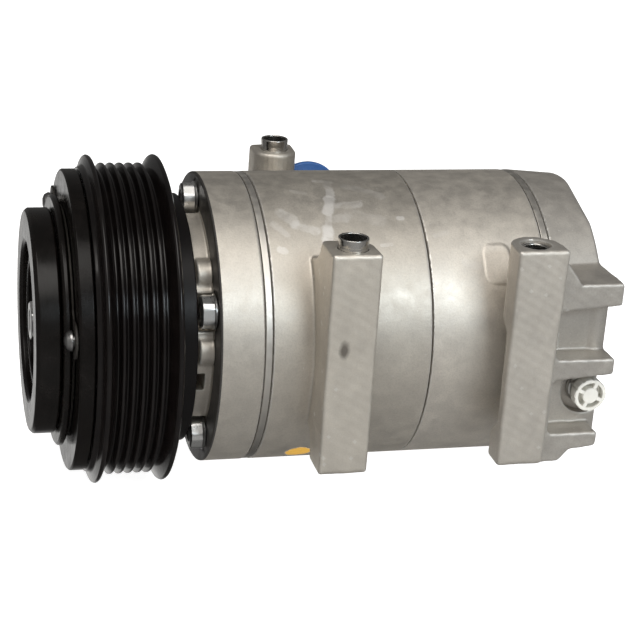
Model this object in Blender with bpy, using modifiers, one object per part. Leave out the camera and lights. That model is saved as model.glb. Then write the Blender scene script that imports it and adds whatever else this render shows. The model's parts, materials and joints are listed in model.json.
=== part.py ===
"""Automotive air-conditioning compressor: ten-cylinder swash-plate pump with
an electromagnetic clutch and a six-groove poly-V pulley.

Frame: the shaft axis is the X axis, the pulley end points to -X, and the
origin is the centre of the flat rear face of the rear head. +Z is up and the
relief valve side faces -Y. All lengths below are in millimetres, and stations
along the shaft are counted from the front face of the body (station 0), with
the rear face at station 149.2.
"""
import bpy
import bmesh
import math
from mathutils import Matrix, Vector

MM = 0.001
REAR = 149.2            # station of the rear face, the frame's origin

# body stack, stations along the shaft
GAP = 0.3               # running gap left between touching pieces
R_BODY = 56.3
HEAD_F = (0.0, 16.4)
PLATE_F = (16.7, 19.1)
BLOCK_F = (19.4, 79.75)
BLOCK_R = (80.05, 125.9)
PLATE_R = (126.2, 128.7)
HEAD_R = (129.0, 149.2)
MID = 72.65             # centre of the swash chamber
R_CHAMBER = 52.4
HALF_CHAMBER = 17.45

# through bolts and cylinders
R_BOLTS = 47.0
BOLT_ANGLES = [22.5 + 72.0 * k for k in range(5)]
R_SHANK, R_BOLT_HOLE = 3.5, 3.9
BOLT_AF, BOLT_HEAD = 11.6, 5.6
R_PITCH = 36.0
PISTON_ANGLES = [58.5 + 72.0 * k for k in range(5)]
R_BORE, R_PISTON = 16.0, 15.8
HALF_PISTON, HALF_SLOT = 43.0, 27.0
STROKE = 20.0
R_SWASH, SWASH_THICK = 42.0, 7.0
TILT_TAN = STROKE / 2.0 / R_PITCH
TILT_PHASE = 58.5       # angle at which the plate leans furthest forward

# mounting lugs
LUG_Y = (-72.0, -55.5)
LUG_Z = (-36.6, 47.8)
FAR_RISE = 2.0           # the far front lug stands this much higher
LUG_F = (35.0, 53.2)
LUG_R = (104.0, 122.2)
HOLE_Y = -63.7
R_SLEEVE_OUT, R_SLEEVE_IN = 5.6, 4.8
SLEEVE_RISE = 4.6

# pulley
R_FLANGE, R_RIB, R_GROOVE = 63.0, 59.8, 57.1
PITCH = 3.56
GROOVES = 6
FIRST_GROOVE = -36.87

SEG_BODY, SEG_MID, SEG_SMALL = 40, 20, 8


# ---------------------------------------------------------------- scene
for old in list(bpy.data.objects):
    bpy.data.objects.remove(old, do_unlink=True)

parts = bpy.data.collections.new("ac_compressor")
tools = bpy.data.collections.new("cutters")
bpy.context.scene.collection.children.link(parts)
bpy.context.scene.collection.children.link(tools)


def material(name, rgb, rough, metal):
    m = bpy.data.materials.new(name)
    m.use_nodes = True
    b = m.node_tree.nodes["Principled BSDF"]
    b.inputs["Base Color"].default_value = (*rgb, 1.0)
    b.inputs["Roughness"].default_value = rough
    b.inputs["Metallic"].default_value = metal
    m.diffuse_color = (*rgb, 1.0)
    return m


CAST = material("cast_aluminium", (0.55, 0.54, 0.51), 0.55, 0.9)
MACH = material("machined_aluminium", (0.68, 0.68, 0.67), 0.35, 1.0)
STEEL = material("zinc_steel", (0.62, 0.62, 0.60), 0.3, 1.0)
DARK = material("bearing_steel", (0.30, 0.30, 0.31), 0.3, 1.0)
BLACK = material("black_enamel", (0.012, 0.011, 0.011), 0.25, 0.0)
RUBBER = material("black_rubber", (0.02, 0.02, 0.02), 0.8, 0.0)
COIL = material("coil_resin", (0.05, 0.04, 0.03), 0.5, 0.0)
WHITE = material("white_nylon", (0.78, 0.77, 0.72), 0.45, 0.0)
BLUE = material("blue_plastic", (0.04, 0.13, 0.38), 0.4, 0.0)


def link(ob, mat, col=parts):
    col.objects.link(ob)
    if mat:
        ob.data.materials.append(mat)
    if col is tools:
        ob.hide_render = True
        ob.display_type = "WIRE"
    return ob


def sx(station):
    """World X in metres of a station along the shaft."""
    return (station - REAR) * MM


def polar(angle_deg, radius):
    """(y, z) in mm; 0 degrees faces the viewer at -Y, 90 degrees is up."""
    a = math.radians(angle_deg)
    return -radius * math.cos(a), radius * math.sin(a)


def finish(ob, angle=35.0):
    """Bake the modifiers of an object into its mesh and shade it."""
    dg = bpy.context.evaluated_depsgraph_get()
    dg.update()
    me = bpy.data.meshes.new_from_object(ob.evaluated_get(dg))
    old = ob.data
    ob.modifiers.clear()
    ob.data = me
    if old.users == 0:
        bpy.data.meshes.remove(old)
    tidy(me)
    me.shade_smooth()
    me.set_sharp_from_angle(angle=math.radians(angle))
    return ob


def tidy(me):
    bm = bmesh.new()
    bm.from_mesh(me)
    bmesh.ops.remove_doubles(bm, verts=bm.verts, dist=1e-6)
    bmesh.ops.dissolve_degenerate(bm, dist=1e-6, edges=bm.edges)
    bm.to_mesh(me)
    bm.free()


def lathe(name, outline, mat, seg=SEG_MID, closed=True, origin=None, col=parts):
    """Turn an outline of (station, radius) about the shaft axis. The outline
    starts at the rear end of the outer side and runs forward along it."""
    x0 = origin if origin is not None else 0.5 * (
        max(p[0] for p in outline) + min(p[0] for p in outline))
    me = bpy.data.meshes.new(name)
    pts = [(r * MM, 0.0, (s - x0) * MM) for s, r in outline]
    n = len(pts)
    edges = [(i, i + 1) for i in range(n - 1)]
    if closed:
        edges.append((n - 1, 0))
    me.from_pydata(pts, edges, [])
    ob = bpy.data.objects.new(name, me)
    ob.location = (sx(x0), 0, 0)
    ob.rotation_euler = (0, math.pi / 2, 0)
    link(ob, mat, col)
    sc = ob.modifiers.new("turn", "SCREW")
    sc.angle = 2 * math.pi
    sc.screw_offset = 0
    sc.axis = "Z"
    sc.steps = seg
    sc.render_steps = seg
    sc.use_merge_vertices = True
    sc.merge_threshold = 0.00001
    sc.use_smooth_shade = True
    return ob


def from_bm(name, bm, mat, loc=(0, 0, 0), col=parts):
    me = bpy.data.meshes.new(name)
    bm.to_mesh(me)
    bm.free()
    ob = bpy.data.objects.new(name, me)
    ob.location = loc
    link(ob, mat, col)
    return ob


def axis_matrix(p0, p1):
    a, b = Vector(p0), Vector(p1)
    q = (b - a).normalized().to_track_quat("Z", "Y")
    return Matrix.Translation((a + b) / 2) @ q.to_matrix().to_4x4(), (b - a).length


def rods(name, spans, mat=None, col=tools, seg=SEG_SMALL, turn=0.0):
    """One object of separate cylinders; a span is (start, end, radius) or
    (start, end, start radius, end radius) in station/mm coordinates."""
    bm = bmesh.new()
    for span in spans:
        p0, p1, r0 = span[0], span[1], span[2]
        r1 = span[3] if len(span) > 3 else r0
        q0 = (sx(p0[0]), p0[1] * MM, p0[2] * MM)
        q1 = (sx(p1[0]), p1[1] * MM, p1[2] * MM)
        m, length = axis_matrix(q0, q1)
        m = m @ Matrix.Rotation(turn, 4, "Z")
        bmesh.ops.create_cone(bm, cap_ends=True, segments=seg, radius1=r0 * MM,
                              radius2=r1 * MM, depth=length, matrix=m)
    return from_bm(name, bm, mat, col=col)


def block(name, lo, hi, mat=None, col=tools, bevel=0.0, segs=2):
    """Box between two corners, station/mm coordinates, edges rounded."""
    bm = bmesh.new()
    bmesh.ops.create_cube(bm, size=1.0)
    for v in bm.verts:
        v.co = Vector((sx(lo[0] + (hi[0] - lo[0]) * (v.co.x + 0.5)),
                       MM * (lo[1] + (hi[1] - lo[1]) * (v.co.y + 0.5)),
                       MM * (lo[2] + (hi[2] - lo[2]) * (v.co.z + 0.5))))
    if bevel:
        bmesh.ops.bevel(bm, geom=list(bm.edges), offset=bevel * MM,
                        segments=segs, profile=0.5, affect="EDGES")
    return from_bm(name, bm, mat, col=col)


def prism(name, outline, plane, lo, hi, mat=None, col=tools, bevel=0.0):
    """A flat outline pulled out along the axis normal to its plane. Plane YZ
    runs along the shaft (lo and hi are stations), plane XZ runs along Y and
    plane XY runs upwards."""
    cu = bpy.data.curves.new(name, "CURVE")
    cu.dimensions = "2D"
    cu.fill_mode = "BOTH"
    cu.extrude = abs(hi - lo) / 2 * MM
    sp = cu.splines.new("POLY")
    sp.points.add(len(outline) - 1)
    for pt, (a, b) in zip(sp.points, outline):
        pt.co = ((a if plane == "YZ" else a - REAR) * MM, b * MM, 0, 1)
    sp.use_cyclic_u = True
    tmp = bpy.data.objects.new(name + "_outline", cu)
    parts.objects.link(tmp)
    mid = (lo + hi) / 2
    if plane == "XY":
        mw = Matrix.Translation((0, 0, mid * MM))
    elif plane == "YZ":
        mw = Matrix(((0, 0, 1, sx(mid)), (1, 0, 0, 0), (0, 1, 0, 0), (0, 0, 0, 1)))
    else:
        mw = Matrix(((1, 0, 0, 0), (0, 0, -1, mid * MM), (0, 1, 0, 0), (0, 0, 0, 1)))
    dg = bpy.context.evaluated_depsgraph_get()
    dg.update()
    me = bpy.data.meshes.new_from_object(tmp.evaluated_get(dg))
    bpy.data.objects.remove(tmp, do_unlink=True)
    bm = bmesh.new()
    bm.from_mesh(me)
    bmesh.ops.remove_doubles(bm, verts=bm.verts, dist=1e-6)
    bmesh.ops.dissolve_limit(bm, angle_limit=0.001, verts=bm.verts, edges=bm.edges)
    bmesh.ops.recalc_face_normals(bm, faces=bm.faces)
    if bevel:
        rims = [e for e in bm.edges if len(e.link_faces) == 2
                and e.calc_face_angle(0) > math.radians(30)]
        bmesh.ops.bevel(bm, geom=rims, offset=bevel * MM, segments=1,
                        profile=0.5, affect="EDGES", clamp_overlap=True)
    bm.transform(mw)
    me2 = bpy.data.meshes.new(name)
    bm.to_mesh(me2)
    bm.free()
    bpy.data.meshes.remove(me)
    ob = bpy.data.objects.new(name, me2)
    link(ob, mat, col)
    return ob


def boolean(ob, other, op):
    m = ob.modifiers.new(op.lower(), "BOOLEAN")
    m.operation = op
    m.object = other
    m.solver = "EXACT"
    return m


def add(ob, other):
    return boolean(ob, other, "UNION")


def cut(ob, other):
    return boolean(ob, other, "DIFFERENCE")


def around(angles, radius, s0, s1, r):
    out = []
    for a in angles:
        y, z = polar(a, radius)
        out.append(((s0, y, z), (s1, y, z), r))
    return out


# ---------------------------------------------------------------- lugs
def lug_outline(side, back):
    """Profile of a mounting lug seen along the shaft: a tall bar with a web
    that runs back into the body. side is -1 for the near side, 1 for the far."""
    y0, y1 = LUG_Y
    pts = [(y0, LUG_Z[0]), (y0, LUG_Z[1]), (y1, LUG_Z[1]), (y1, 41.0),
           (y1 + 1.6, 38.6), (y1 + 4.5, 37.4), (back, 36.4),
           (back, -21.0), (y1 + 5.0, -24.0), (y1 + 1.6, -27.0),
           (y1, -30.0), (y1, LUG_Z[0])]
    return [(-side * a, b) for a, b in pts]


# ---------------------------------------------------------------- front head
front_head = lathe("front_head", [
    (HEAD_F[1], R_BODY), (0.9, R_BODY), (0.0, 55.4), (0.0, 43.5), (-11.4, 43.5),
    (-12.3, 42.6), (-12.3, 17.4), (-40.5, 17.4), (-40.5, 9.4), (-12.6, 9.4),
    (-12.6, 14.6), (-3.4, 14.6), (-3.4, 9.4), (9.6, 9.4), (9.6, 13.0),
    (HEAD_F[1], 13.0), (HEAD_F[1], 21.0), (6.4, 21.0), (6.4, 41.0),
    (HEAD_F[1], 41.0)], CAST, SEG_BODY)
y1, z1 = polar(42.5, 40.6)
y2, z2 = polar(3.0, 40.6)
add(front_head, rods("front_head_bosses", [
    ((-5.6, y1, z1), (2.0, y1, z1), 5.8), ((-5.6, y2, z2), (2.0, y2, z2), 5.8),
    ((-5.6, -y1, z1), (2.0, -y1, z1), 5.8), ((-5.6, -y2, z2), (2.0, -y2, z2), 5.8)]))
cut(front_head, rods("front_head_scallops",
                     around(BOLT_ANGLES, R_BOLTS, -14.0, 0.0, 8.2)))
cut(front_head, rods("front_head_bolt_holes",
                     around(BOLT_ANGLES, R_BOLTS, -2.0, 18.0, R_BOLT_HOLE)))
finish(front_head)

# ---------------------------------------------------------------- valve plates
for nm, (a, b) in (("front_valve_plate", PLATE_F), ("rear_valve_plate", PLATE_R)):
    vp = lathe(nm, [(b, R_BODY - 0.15), (a, R_BODY - 0.15), (a, 10.5), (b, 10.5)],
               STEEL, SEG_BODY)
    cut(vp, rods(nm + "_bolt_holes", around(BOLT_ANGLES, R_BOLTS, a - 2, b + 2,
                                            R_BOLT_HOLE)))
    ports = around(PISTON_ANGLES, 31.0, a - 2, b + 2, 3.0)
    cut(vp, rods(nm + "_discharge_ports", ports, seg=6))
    finish(vp)

# ---------------------------------------------------------------- cylinder blocks
PORT_X, PORT_FACE = 61.7, 71.8
SUCTION_Z, DISCHARGE_Z, PORT_BOLT_Z = 26.8, -2.0, -21.0
LUG_X = 0.5 * (LUG_F[0] + LUG_F[1])


def far_lug_outline():
    """Plan of the far lug: square outside, rounded around its bush inside."""
    half = 0.5 * (LUG_F[1] - LUG_F[0])
    pts = [(LUG_F[0], -LUG_Y[0]), (LUG_F[0], -HOLE_Y)]
    for k in range(1, 10):
        a = math.pi * (1 + k / 10)
        pts.append((LUG_X + half * math.cos(a), -HOLE_Y + half * math.sin(a)))
    return pts + [(LUG_F[1], -HOLE_Y), (LUG_F[1], -LUG_Y[0])]


front_block = lathe("front_cylinder_block", [
    (BLOCK_F[1], 0.0), (BLOCK_F[1], R_BODY), (BLOCK_F[0], R_BODY),
    (BLOCK_F[0], 0.0)], CAST, SEG_BODY, closed=False)
add(front_block, prism("front_lug_near", lug_outline(-1, -38.0), "YZ",
                       LUG_F[0], LUG_F[1], bevel=1.6))
add(front_block, prism("front_lug_far", far_lug_outline(), "XY",
                       LUG_Z[0], LUG_Z[1] + FAR_RISE))
add(front_block, block("front_lug_web", (36.6, 36.0, -26.0), (51.6, 62.0, 37.5),
                       bevel=2.0, segs=1))
add(front_block, block("port_block", (50.0, 36.0, -30.0), (73.0, PORT_FACE, 31.0),
                       bevel=2.0, segs=1))
add(front_block, rods("suction_boss", [
    ((PORT_X, 40.0, SUCTION_Z), (PORT_X, PORT_FACE, SUCTION_Z), 9.6)], seg=18))
rim = lathe("front_chamber", [
    (BLOCK_F[1] + 2, 0.0), (BLOCK_F[1] + 2, R_CHAMBER),
    (MID - HALF_CHAMBER, R_CHAMBER), (MID - HALF_CHAMBER, 0.0)], None, 40, closed=False,
    col=tools)
cut(front_block, rim)
cut(front_block, lathe("seal_groove", [
    (BLOCK_F[1] + 1, 55.3), (BLOCK_F[1] - 1.9, 55.3), (BLOCK_F[1] - 1.9, 53.5),
    (BLOCK_F[1] + 1, 53.5)], None, SEG_BODY, col=tools))
cut(front_block, rods("front_bores", around(
    PISTON_ANGLES, R_PITCH, BLOCK_F[0] - 2, MID - HALF_CHAMBER + 3, R_BORE), seg=16))
cut(front_block, rods("front_bolt_holes", around(
    BOLT_ANGLES, R_BOLTS, BLOCK_F[0] - 2, MID - HALF_CHAMBER + 3, R_BOLT_HOLE)))
cut(front_block, lathe("front_shaft_bore", [
    (MID, 0.0), (MID, 9.4), (36.0, 9.4), (36.0, 13.2), (BLOCK_F[0] - 2, 13.2),
    (BLOCK_F[0] - 2, 0.0)], None, 20, closed=False, col=tools))
cut(front_block, rods("front_lug_holes", [
    ((44.1, s * HOLE_Y, LUG_Z[0] - 5), (44.1, s * HOLE_Y, LUG_Z[1] + 5),
     R_SLEEVE_OUT + 0.3) for s in (1, -1)], seg=16))
cut(front_block, rods("suction_bore", [
    ((PORT_X, 40.0, SUCTION_Z), (PORT_X, 76.0, SUCTION_Z), 7.6)], seg=18))
cut(front_block, rods("discharge_bore", [
    ((PORT_X, 60.0, DISCHARGE_Z), (PORT_X, 76.0, DISCHARGE_Z), 6.1),
    ((PORT_X, 58.0, PORT_BOLT_Z), (PORT_X, 76.0, PORT_BOLT_Z), 3.4)], seg=14))
finish(front_block)

rear_block = lathe("rear_cylinder_block", [
    (BLOCK_R[1], 0.0), (BLOCK_R[1], R_BODY), (BLOCK_R[0], R_BODY),
    (BLOCK_R[0], 0.0)], CAST, SEG_BODY, closed=False)
cut(rear_block, lathe("rear_chamber", [
    (MID + HALF_CHAMBER, 0.0), (MID + HALF_CHAMBER, R_CHAMBER),
    (BLOCK_R[0] - 2, R_CHAMBER), (BLOCK_R[0] - 2, 0.0)], None, 40, closed=False,
    col=tools))
cut(rear_block, rods("rear_bores", around(
    PISTON_ANGLES, R_PITCH, MID + HALF_CHAMBER - 3, BLOCK_R[1] + 2, R_BORE), seg=16))
cut(rear_block, rods("rear_bolt_holes", around(
    BOLT_ANGLES, R_BOLTS, MID + HALF_CHAMBER - 3, BLOCK_R[1] + 2, R_BOLT_HOLE)))
cut(rear_block, lathe("rear_shaft_bore", [
    (BLOCK_R[1] + 2, 0.0), (BLOCK_R[1] + 2, 13.2), (112.0, 13.2), (112.0, 9.4),
    (MID, 9.4), (MID, 0.0)], None, 20, closed=False, col=tools))
finish(rear_block)

lathe("housing_seal_ring", [
    (BLOCK_F[1] - 0.1, 55.0), (BLOCK_F[1] - 1.6, 55.0), (BLOCK_F[1] - 1.6, 53.8),
    (BLOCK_F[1] - 0.1, 53.8)], RUBBER, SEG_BODY)

# ---------------------------------------------------------------- rear head
rear_head = lathe("rear_head", [
    (HEAD_R[1], 0.0), (HEAD_R[1], 53.6), (HEAD_R[1] - 1.1, 54.75),
    (HEAD_R[0], R_BODY), (HEAD_R[0], 41.0), (139.0, 41.0), (139.0, 31.0),
    (HEAD_R[0], 31.0), (HEAD_R[0], 27.0), (139.0, 27.0), (139.0, 0.0)],
    CAST, SEG_BODY, closed=False)


bracket = prism("bracket_gusset", [
    (120.0, 44.5), (124.5, 43.0), (127.4, 40.2), (131.9, 33.3), (REAR, 33.3),
    (REAR, 25.0), (124.8, 23.2), (124.8, 3.4), (149.0, 3.4), (149.0, -3.0),
    (124.8, -5.0), (124.8, -26.4), (145.4, -26.4), (145.4, -32.6),
    (133.2, -34.0), (130.2, -38.2), (120.0, -38.8)], "XZ", -66.8, -36.0)
lug = prism("rear_lug", [
    (-LUG_Y[0], LUG_Z[0]), (-LUG_Y[0], LUG_Z[1]), (-LUG_Y[1], LUG_Z[1]),
    (-LUG_Y[1], 40.0), (-50.0 * -1, 36.0), (50.0, -30.0), (-LUG_Y[1], -33.0),
    (-LUG_Y[1], LUG_Z[0])], "YZ", LUG_R[0], LUG_R[1], bevel=1.6)
for v in lug.data.vertices:
    v.co.y = -v.co.y
lug.data.flip_normals()
add(rear_head, bracket)
add(rear_head, lug)
add(rear_head, block("valve_wall", (124.0, -56.2, -34.0), (149.0, -36.0, 25.0)))
add(rear_head, rods("shelf_column", [((144.7, -53.4, -2.0), (144.7, -53.4, 28.0),
                                      3.9)], seg=16))
cut(rear_head, lathe("block_clearance", [
    (128.85, 0.0), (128.85, R_BODY + 0.7), (100.0, R_BODY + 0.7), (100.0, 0.0)],
    None, SEG_BODY, closed=False, col=tools))
cut(rear_head, block("lug_pocket", (100.0, -66.6, -22.0), (106.7, -50.0, 17.0),
                     bevel=1.2))
cut(rear_head, rods("rear_bolt_sockets", around(
    BOLT_ANGLES, R_BOLTS, 126.0, 142.0, R_BOLT_HOLE)))
cut(rear_head, rods("rear_lug_hole", [
    ((113.1, HOLE_Y, LUG_Z[0] - 5), (113.1, HOLE_Y, LUG_Z[1] + 5),
     R_SLEEVE_OUT + 0.3)], seg=16))
cut(rear_head, rods("valve_seat", [((142.7, -53.0, -13.1), (142.7, -60.0, -13.1),
                                    9.2)], seg=20))
cut(rear_head, rods("valve_bore", [((142.7, -45.0, -13.1), (142.7, -56.0, -13.1),
                                    4.3)], seg=16))
finish(rear_head)

# ---------------------------------------------------------------- sleeves


def sleeve(name, x, side, z0, z1, r_in=R_SLEEVE_IN):
    """Steel bush pressed in a lug; its axis is vertical."""
    me = bpy.data.meshes.new(name)
    h = (z1 - z0) / 2
    pts = [(R_SLEEVE_OUT - 0.5, h), (R_SLEEVE_OUT, h - 0.5), (R_SLEEVE_OUT, -h),
           (r_in, -h), (r_in, h)]
    me.from_pydata([(r * MM, 0, z * MM) for r, z in pts],
                   [(i, (i + 1) % len(pts)) for i in range(len(pts))], [])
    ob = bpy.data.objects.new(name, me)
    ob.location = (sx(x), -side * HOLE_Y * MM, (z0 + z1) / 2 * MM)
    link(ob, STEEL)
    sc = ob.modifiers.new("turn", "SCREW")
    sc.angle = 2 * math.pi
    sc.axis = "Z"
    sc.steps = 16
    sc.render_steps = 16
    sc.use_merge_vertices = True
    sc.merge_threshold = 0.00001
    return finish(ob)


sleeve("front_sleeve_near", 44.1, -1, LUG_Z[0], LUG_Z[1] + SLEEVE_RISE)
sleeve("front_sleeve_far", 44.1, 1, LUG_Z[0], LUG_Z[1] + FAR_RISE + SLEEVE_RISE)
sleeve("rear_sleeve_near", 113.1, -1, LUG_Z[0], LUG_Z[1] - 0.6, 4.7)

# ---------------------------------------------------------------- through bolts
hexr = BOLT_AF / 2 / math.cos(math.pi / 6)
bolt = rods("through_bolt_1", [((0.0, 0, 0), (138.5, 0, 0), R_SHANK)], STEEL,
            col=parts, seg=12)
add(bolt, rods("bolt_hex", [((-GAP - BOLT_HEAD, 0, 0), (-GAP, 0, 0), hexr)], seg=6))
add(bolt, rods("bolt_neck", [((-GAP - 1.0, 0, 0), (1.0, 0, 0), R_SHANK)], seg=12))
finish(bolt)
bolt.data.transform(Matrix.Translation((-sx(0.0), 0, 0)))
for k, ang in enumerate(BOLT_ANGLES):
    ob = bolt if k == 0 else bpy.data.objects.new(f"through_bolt_{k + 1}", bolt.data)
    if k:
        parts.objects.link(ob)
    y, z = polar(ang, R_BOLTS)
    ob.location = (sx(0.0), y * MM, z * MM)

# ---------------------------------------------------------------- shaft train
lathe("drive_shaft", [
    (121.0, 0.0), (121.0, 8.0), (-38.0, 8.0), (-38.0, 6.8), (-57.0, 6.8),
    (-57.0, 0.0)], DARK, 20, closed=False)
lathe("shaft_seal", [(-4.0, 14.3), (-12.0, 14.3), (-12.0, 8.4), (-10.5, 8.4),
                     (-10.5, 11.5), (-4.0, 11.5)], RUBBER, 20)
lathe("front_radial_bearing", [(35.5, 12.9), (20.0, 12.9), (20.0, 8.3),
                               (35.5, 8.3)], DARK, 20)
lathe("rear_radial_bearing", [(125.0, 12.9), (112.5, 12.9), (112.5, 8.3),
                              (125.0, 8.3)], DARK, 20)
lathe("front_thrust_bearing", [(58.3, 14.6), (55.5, 14.6), (55.5, 8.3),
                               (58.3, 8.3)], DARK, 20)
lathe("rear_thrust_bearing", [(89.8, 14.6), (87.0, 14.6), (87.0, 8.3),
                              (89.8, 8.3)], DARK, 20)

# swash plate: an inclined disc on a straight hub
tilt = math.atan(TILT_TAN)
swash = lathe("swash_plate", [(86.7, 13.2), (58.6, 13.2), (58.6, 8.3),
                              (86.7, 8.3)], DARK, 20, origin=MID)
bm = bmesh.new()
bmesh.ops.create_cone(bm, cap_ends=True, segments=28, radius1=R_SWASH * MM,
                      radius2=R_SWASH * MM, depth=SWASH_THICK * MM,
                      matrix=Matrix.Rotation(math.pi / 2, 4, "Y"))
ty, tz = polar(TILT_PHASE, 1.0)
axis = Vector((0, -tz, ty))
disc = from_bm("swash_disc", bm, None, (sx(MID), 0, 0), tools)
disc.data.transform(Matrix.Rotation(tilt, 4, axis))
bore = rods("swash_bore", [((MID - 20, 0, 0), (MID + 20, 0, 0), 8.3)], seg=20)
add(swash, disc)
cut(swash, bore)
finish(swash)

# double-headed pistons, each at the place the tilted plate holds it
for k, ang in enumerate(PISTON_ANGLES):
    off = -STROKE / 2 * math.cos(math.radians(ang - TILT_PHASE))
    y, z = polar(ang, R_PITCH)
    c = MID + off
    body = rods(f"piston_{k + 1}", [((c - HALF_PISTON, 0, 0),
                                     (c + HALF_PISTON, 0, 0), R_PISTON)],
                MACH, col=parts, seg=16)
    slot = block(f"piston_slot_{k + 1}", (c - HALF_SLOT, -20.0, -40.0),
                 (c + HALF_SLOT, 20.0, 43.2 - R_PITCH))
    turn = Matrix.Rotation(math.radians(90.0 - ang), 4, "X")
    slot.data.transform(turn)
    slot.location = (0, y * MM, z * MM)
    body.location = (0, y * MM, z * MM)
    cut(body, slot)
    finish(body)

# ---------------------------------------------------------------- clutch
lathe("clutch_coil", [
    (-12.6, 51.4), (-38.8, 51.4), (-38.8, 33.0), (-15.6, 33.0), (-15.6, 18.0),
    (-12.6, 18.0), (-12.6, 44.1), (-6.6, 44.1), (-6.6, 48.0), (-12.6, 48.0)],
    COIL, 32)
lathe("bearing_inner_race", [(-17.0, 21.4), (-37.0, 21.4), (-37.0, 17.7),
                             (-17.0, 17.7)], DARK, 20)
lathe("bearing_outer_race", [(-17.0, 27.5), (-37.0, 27.5), (-37.0, 23.6),
                             (-17.0, 23.6)], DARK, 20)
lathe("bearing_snap_ring", [(-37.3, 20.4), (-38.8, 20.4), (-38.8, 17.7),
                            (-37.3, 17.7)], STEEL, 32)


def pulley_outline():
    out = [(-13.8, 61.4), (-14.5, 62.7), (-15.2, R_FLANGE), (-15.9, 62.7),
           (-17.2, R_RIB)]
    half = PITCH / 2
    for k in reversed(range(GROOVES)):
        c = FIRST_GROOVE + PITCH * k
        if k < GROOVES - 1:
            out.append((c + half - 0.25, R_RIB))
        out.append((c, R_GROOVE - 0.2))
        if k > 0:
            out.append((c - half + 0.25, R_RIB))
    out += [(-38.6, R_RIB), (-40.0, 62.7), (-40.7, R_FLANGE), (-41.4, 62.6),
            (-42.6, 58.6), (-44.4, 58.0), (-44.4, 31.0), (-42.0, 27.8),
            (-16.0, 27.8), (-16.0, 31.9), (-39.8, 31.9), (-39.8, 52.6),
            (-13.8, 53.4)]
    return out


lathe("pulley_rotor", pulley_outline(), BLACK, 36)

armature = lathe("armature_plate", [
    (-44.9, 57.0), (-45.5, 57.6), (-49.9, 57.6), (-50.5, 57.0), (-50.5, 34.0),
    (-44.9, 34.0)], BLACK, SEG_BODY)
R_LOBE = 49.6
RIVETS = [12.0 + 120.0 * k for k in range(3)]
cut(armature, rods("armature_rivet_holes", around(RIVETS, R_LOBE, -52.0, -43.0,
                                                  2.6), seg=12))
finish(armature)

spring = lathe("leaf_spring", [(-50.8, 44.6), (-51.7, 44.6), (-51.7, 20.0),
                               (-50.8, 20.0)], DARK, 36)
add(spring, rods("leaf_spring_ears", around(RIVETS, R_LOBE, -51.7, -50.8, 6.6),
                 seg=12))
cut(spring, rods("leaf_spring_holes", around(RIVETS, R_LOBE, -53.0, -50.0, 2.6),
                 seg=12))
finish(spring)

hub = lathe("clutch_hub", [
    (-41.2, 13.5), (-52.0, 13.5), (-52.0, 46.8), (-52.9, 47.8), (-54.0, 47.8),
    (-54.8, 47.0), (-54.8, 26.0), (-62.0, 26.0), (-62.0, 23.0), (-54.8, 23.0),
    (-54.8, 13.5), (-57.2, 13.5), (-57.2, 7.1), (-41.2, 7.1)], BLACK, 32)
cut(hub, rods("hub_rivet_reliefs", around(RIVETS, R_LOBE, -56.5, -51.0, 5.4),
              seg=12))
finish(hub)

lathe("damper_ring", [
    (-55.1, 42.3), (-55.8, 43.0), (-63.3, 43.0), (-64.3, 42.0), (-64.3, 31.2),
    (-63.4, 30.3), (-55.1, 30.3)], BLACK, SEG_BODY)
lathe("damper_rubber", [(-55.1, 30.0), (-60.8, 30.0), (-60.8, 26.3),
                        (-55.1, 26.3)], RUBBER, 28)
lathe("air_gap_shim", [(-38.3, 9.0), (-41.0, 9.0), (-41.0, 7.1),
                       (-38.3, 7.1)], STEEL, 16)
nut = rods("hub_nut", [((-63.0, 0, 0), (-57.5, 0, 0), 8.0)], STEEL, col=parts,
           seg=6)
nut_bore = rods("nut_bore", [((-59.0, 0, 0), (-56.0, 0, 0), 7.1)], seg=16)
cut(nut, nut_bore)
finish(nut)

rivet = rods("rivet_1", [((-55.9, 0, 0), (-52.3, 0, 0), 3.6, 4.2)], STEEL,
             col=parts, seg=16)
add(rivet, rods("rivet_shank", [((-53.0, 0, 0), (-45.6, 0, 0), 2.2)], seg=12))
finish(rivet)
for k, ang in enumerate(RIVETS):
    ob = rivet if k == 0 else bpy.data.objects.new(f"rivet_{k + 1}", rivet.data)
    if k:
        parts.objects.link(ob)
    y, z = polar(ang, R_LOBE)
    ob.location = (0, y * MM, z * MM)

# ---------------------------------------------------------------- fittings
valve = rods("relief_valve_body", [((142.7, -45.5, -13.1), (142.7, -57.6, -13.1),
                                    3.9)], STEEL, col=parts, seg=20)
add(valve, rods("relief_valve_flange", [((142.7, -53.3, -13.1), (142.7, -55.2, -13.1),
                                         6.4)], seg=24))
add(valve, rods("relief_valve_hex", [((142.7, -55.0, -13.1), (142.7, -57.0, -13.1),
                                      6.3)], seg=6))
finish(valve)
cap = rods("relief_valve_cap", [((142.7, -57.9, -13.1), (142.7, -62.6, -13.1),
                                 6.4)], WHITE, col=parts, seg=32)
cut(cap, rods("relief_cap_recess", [((142.7, -61.6, -13.1), (142.7, -64.0, -13.1),
                                     4.8)], seg=24))
add(cap, rods("relief_cap_centre", [((142.7, -61.0, -13.1), (142.7, -62.9, -13.1),
                                     3.1)], seg=20))
finish(cap)

for nm, zc, r, rp in (("suction_port_cap", SUCTION_Z, 14.6, 7.0),
                      ("discharge_port_cap", DISCHARGE_Z, 9.0, 5.6)):
    pc = rods(nm, [((PORT_X, PORT_FACE + GAP, zc), (PORT_X, PORT_FACE + 3.4, zc),
                    r)], BLUE, col=parts, seg=24)
    add(pc, rods(nm + "_plug", [((PORT_X, PORT_FACE - 8.0, zc),
                                 (PORT_X, PORT_FACE + 1.0, zc), rp)], seg=14))
    finish(pc)
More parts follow.
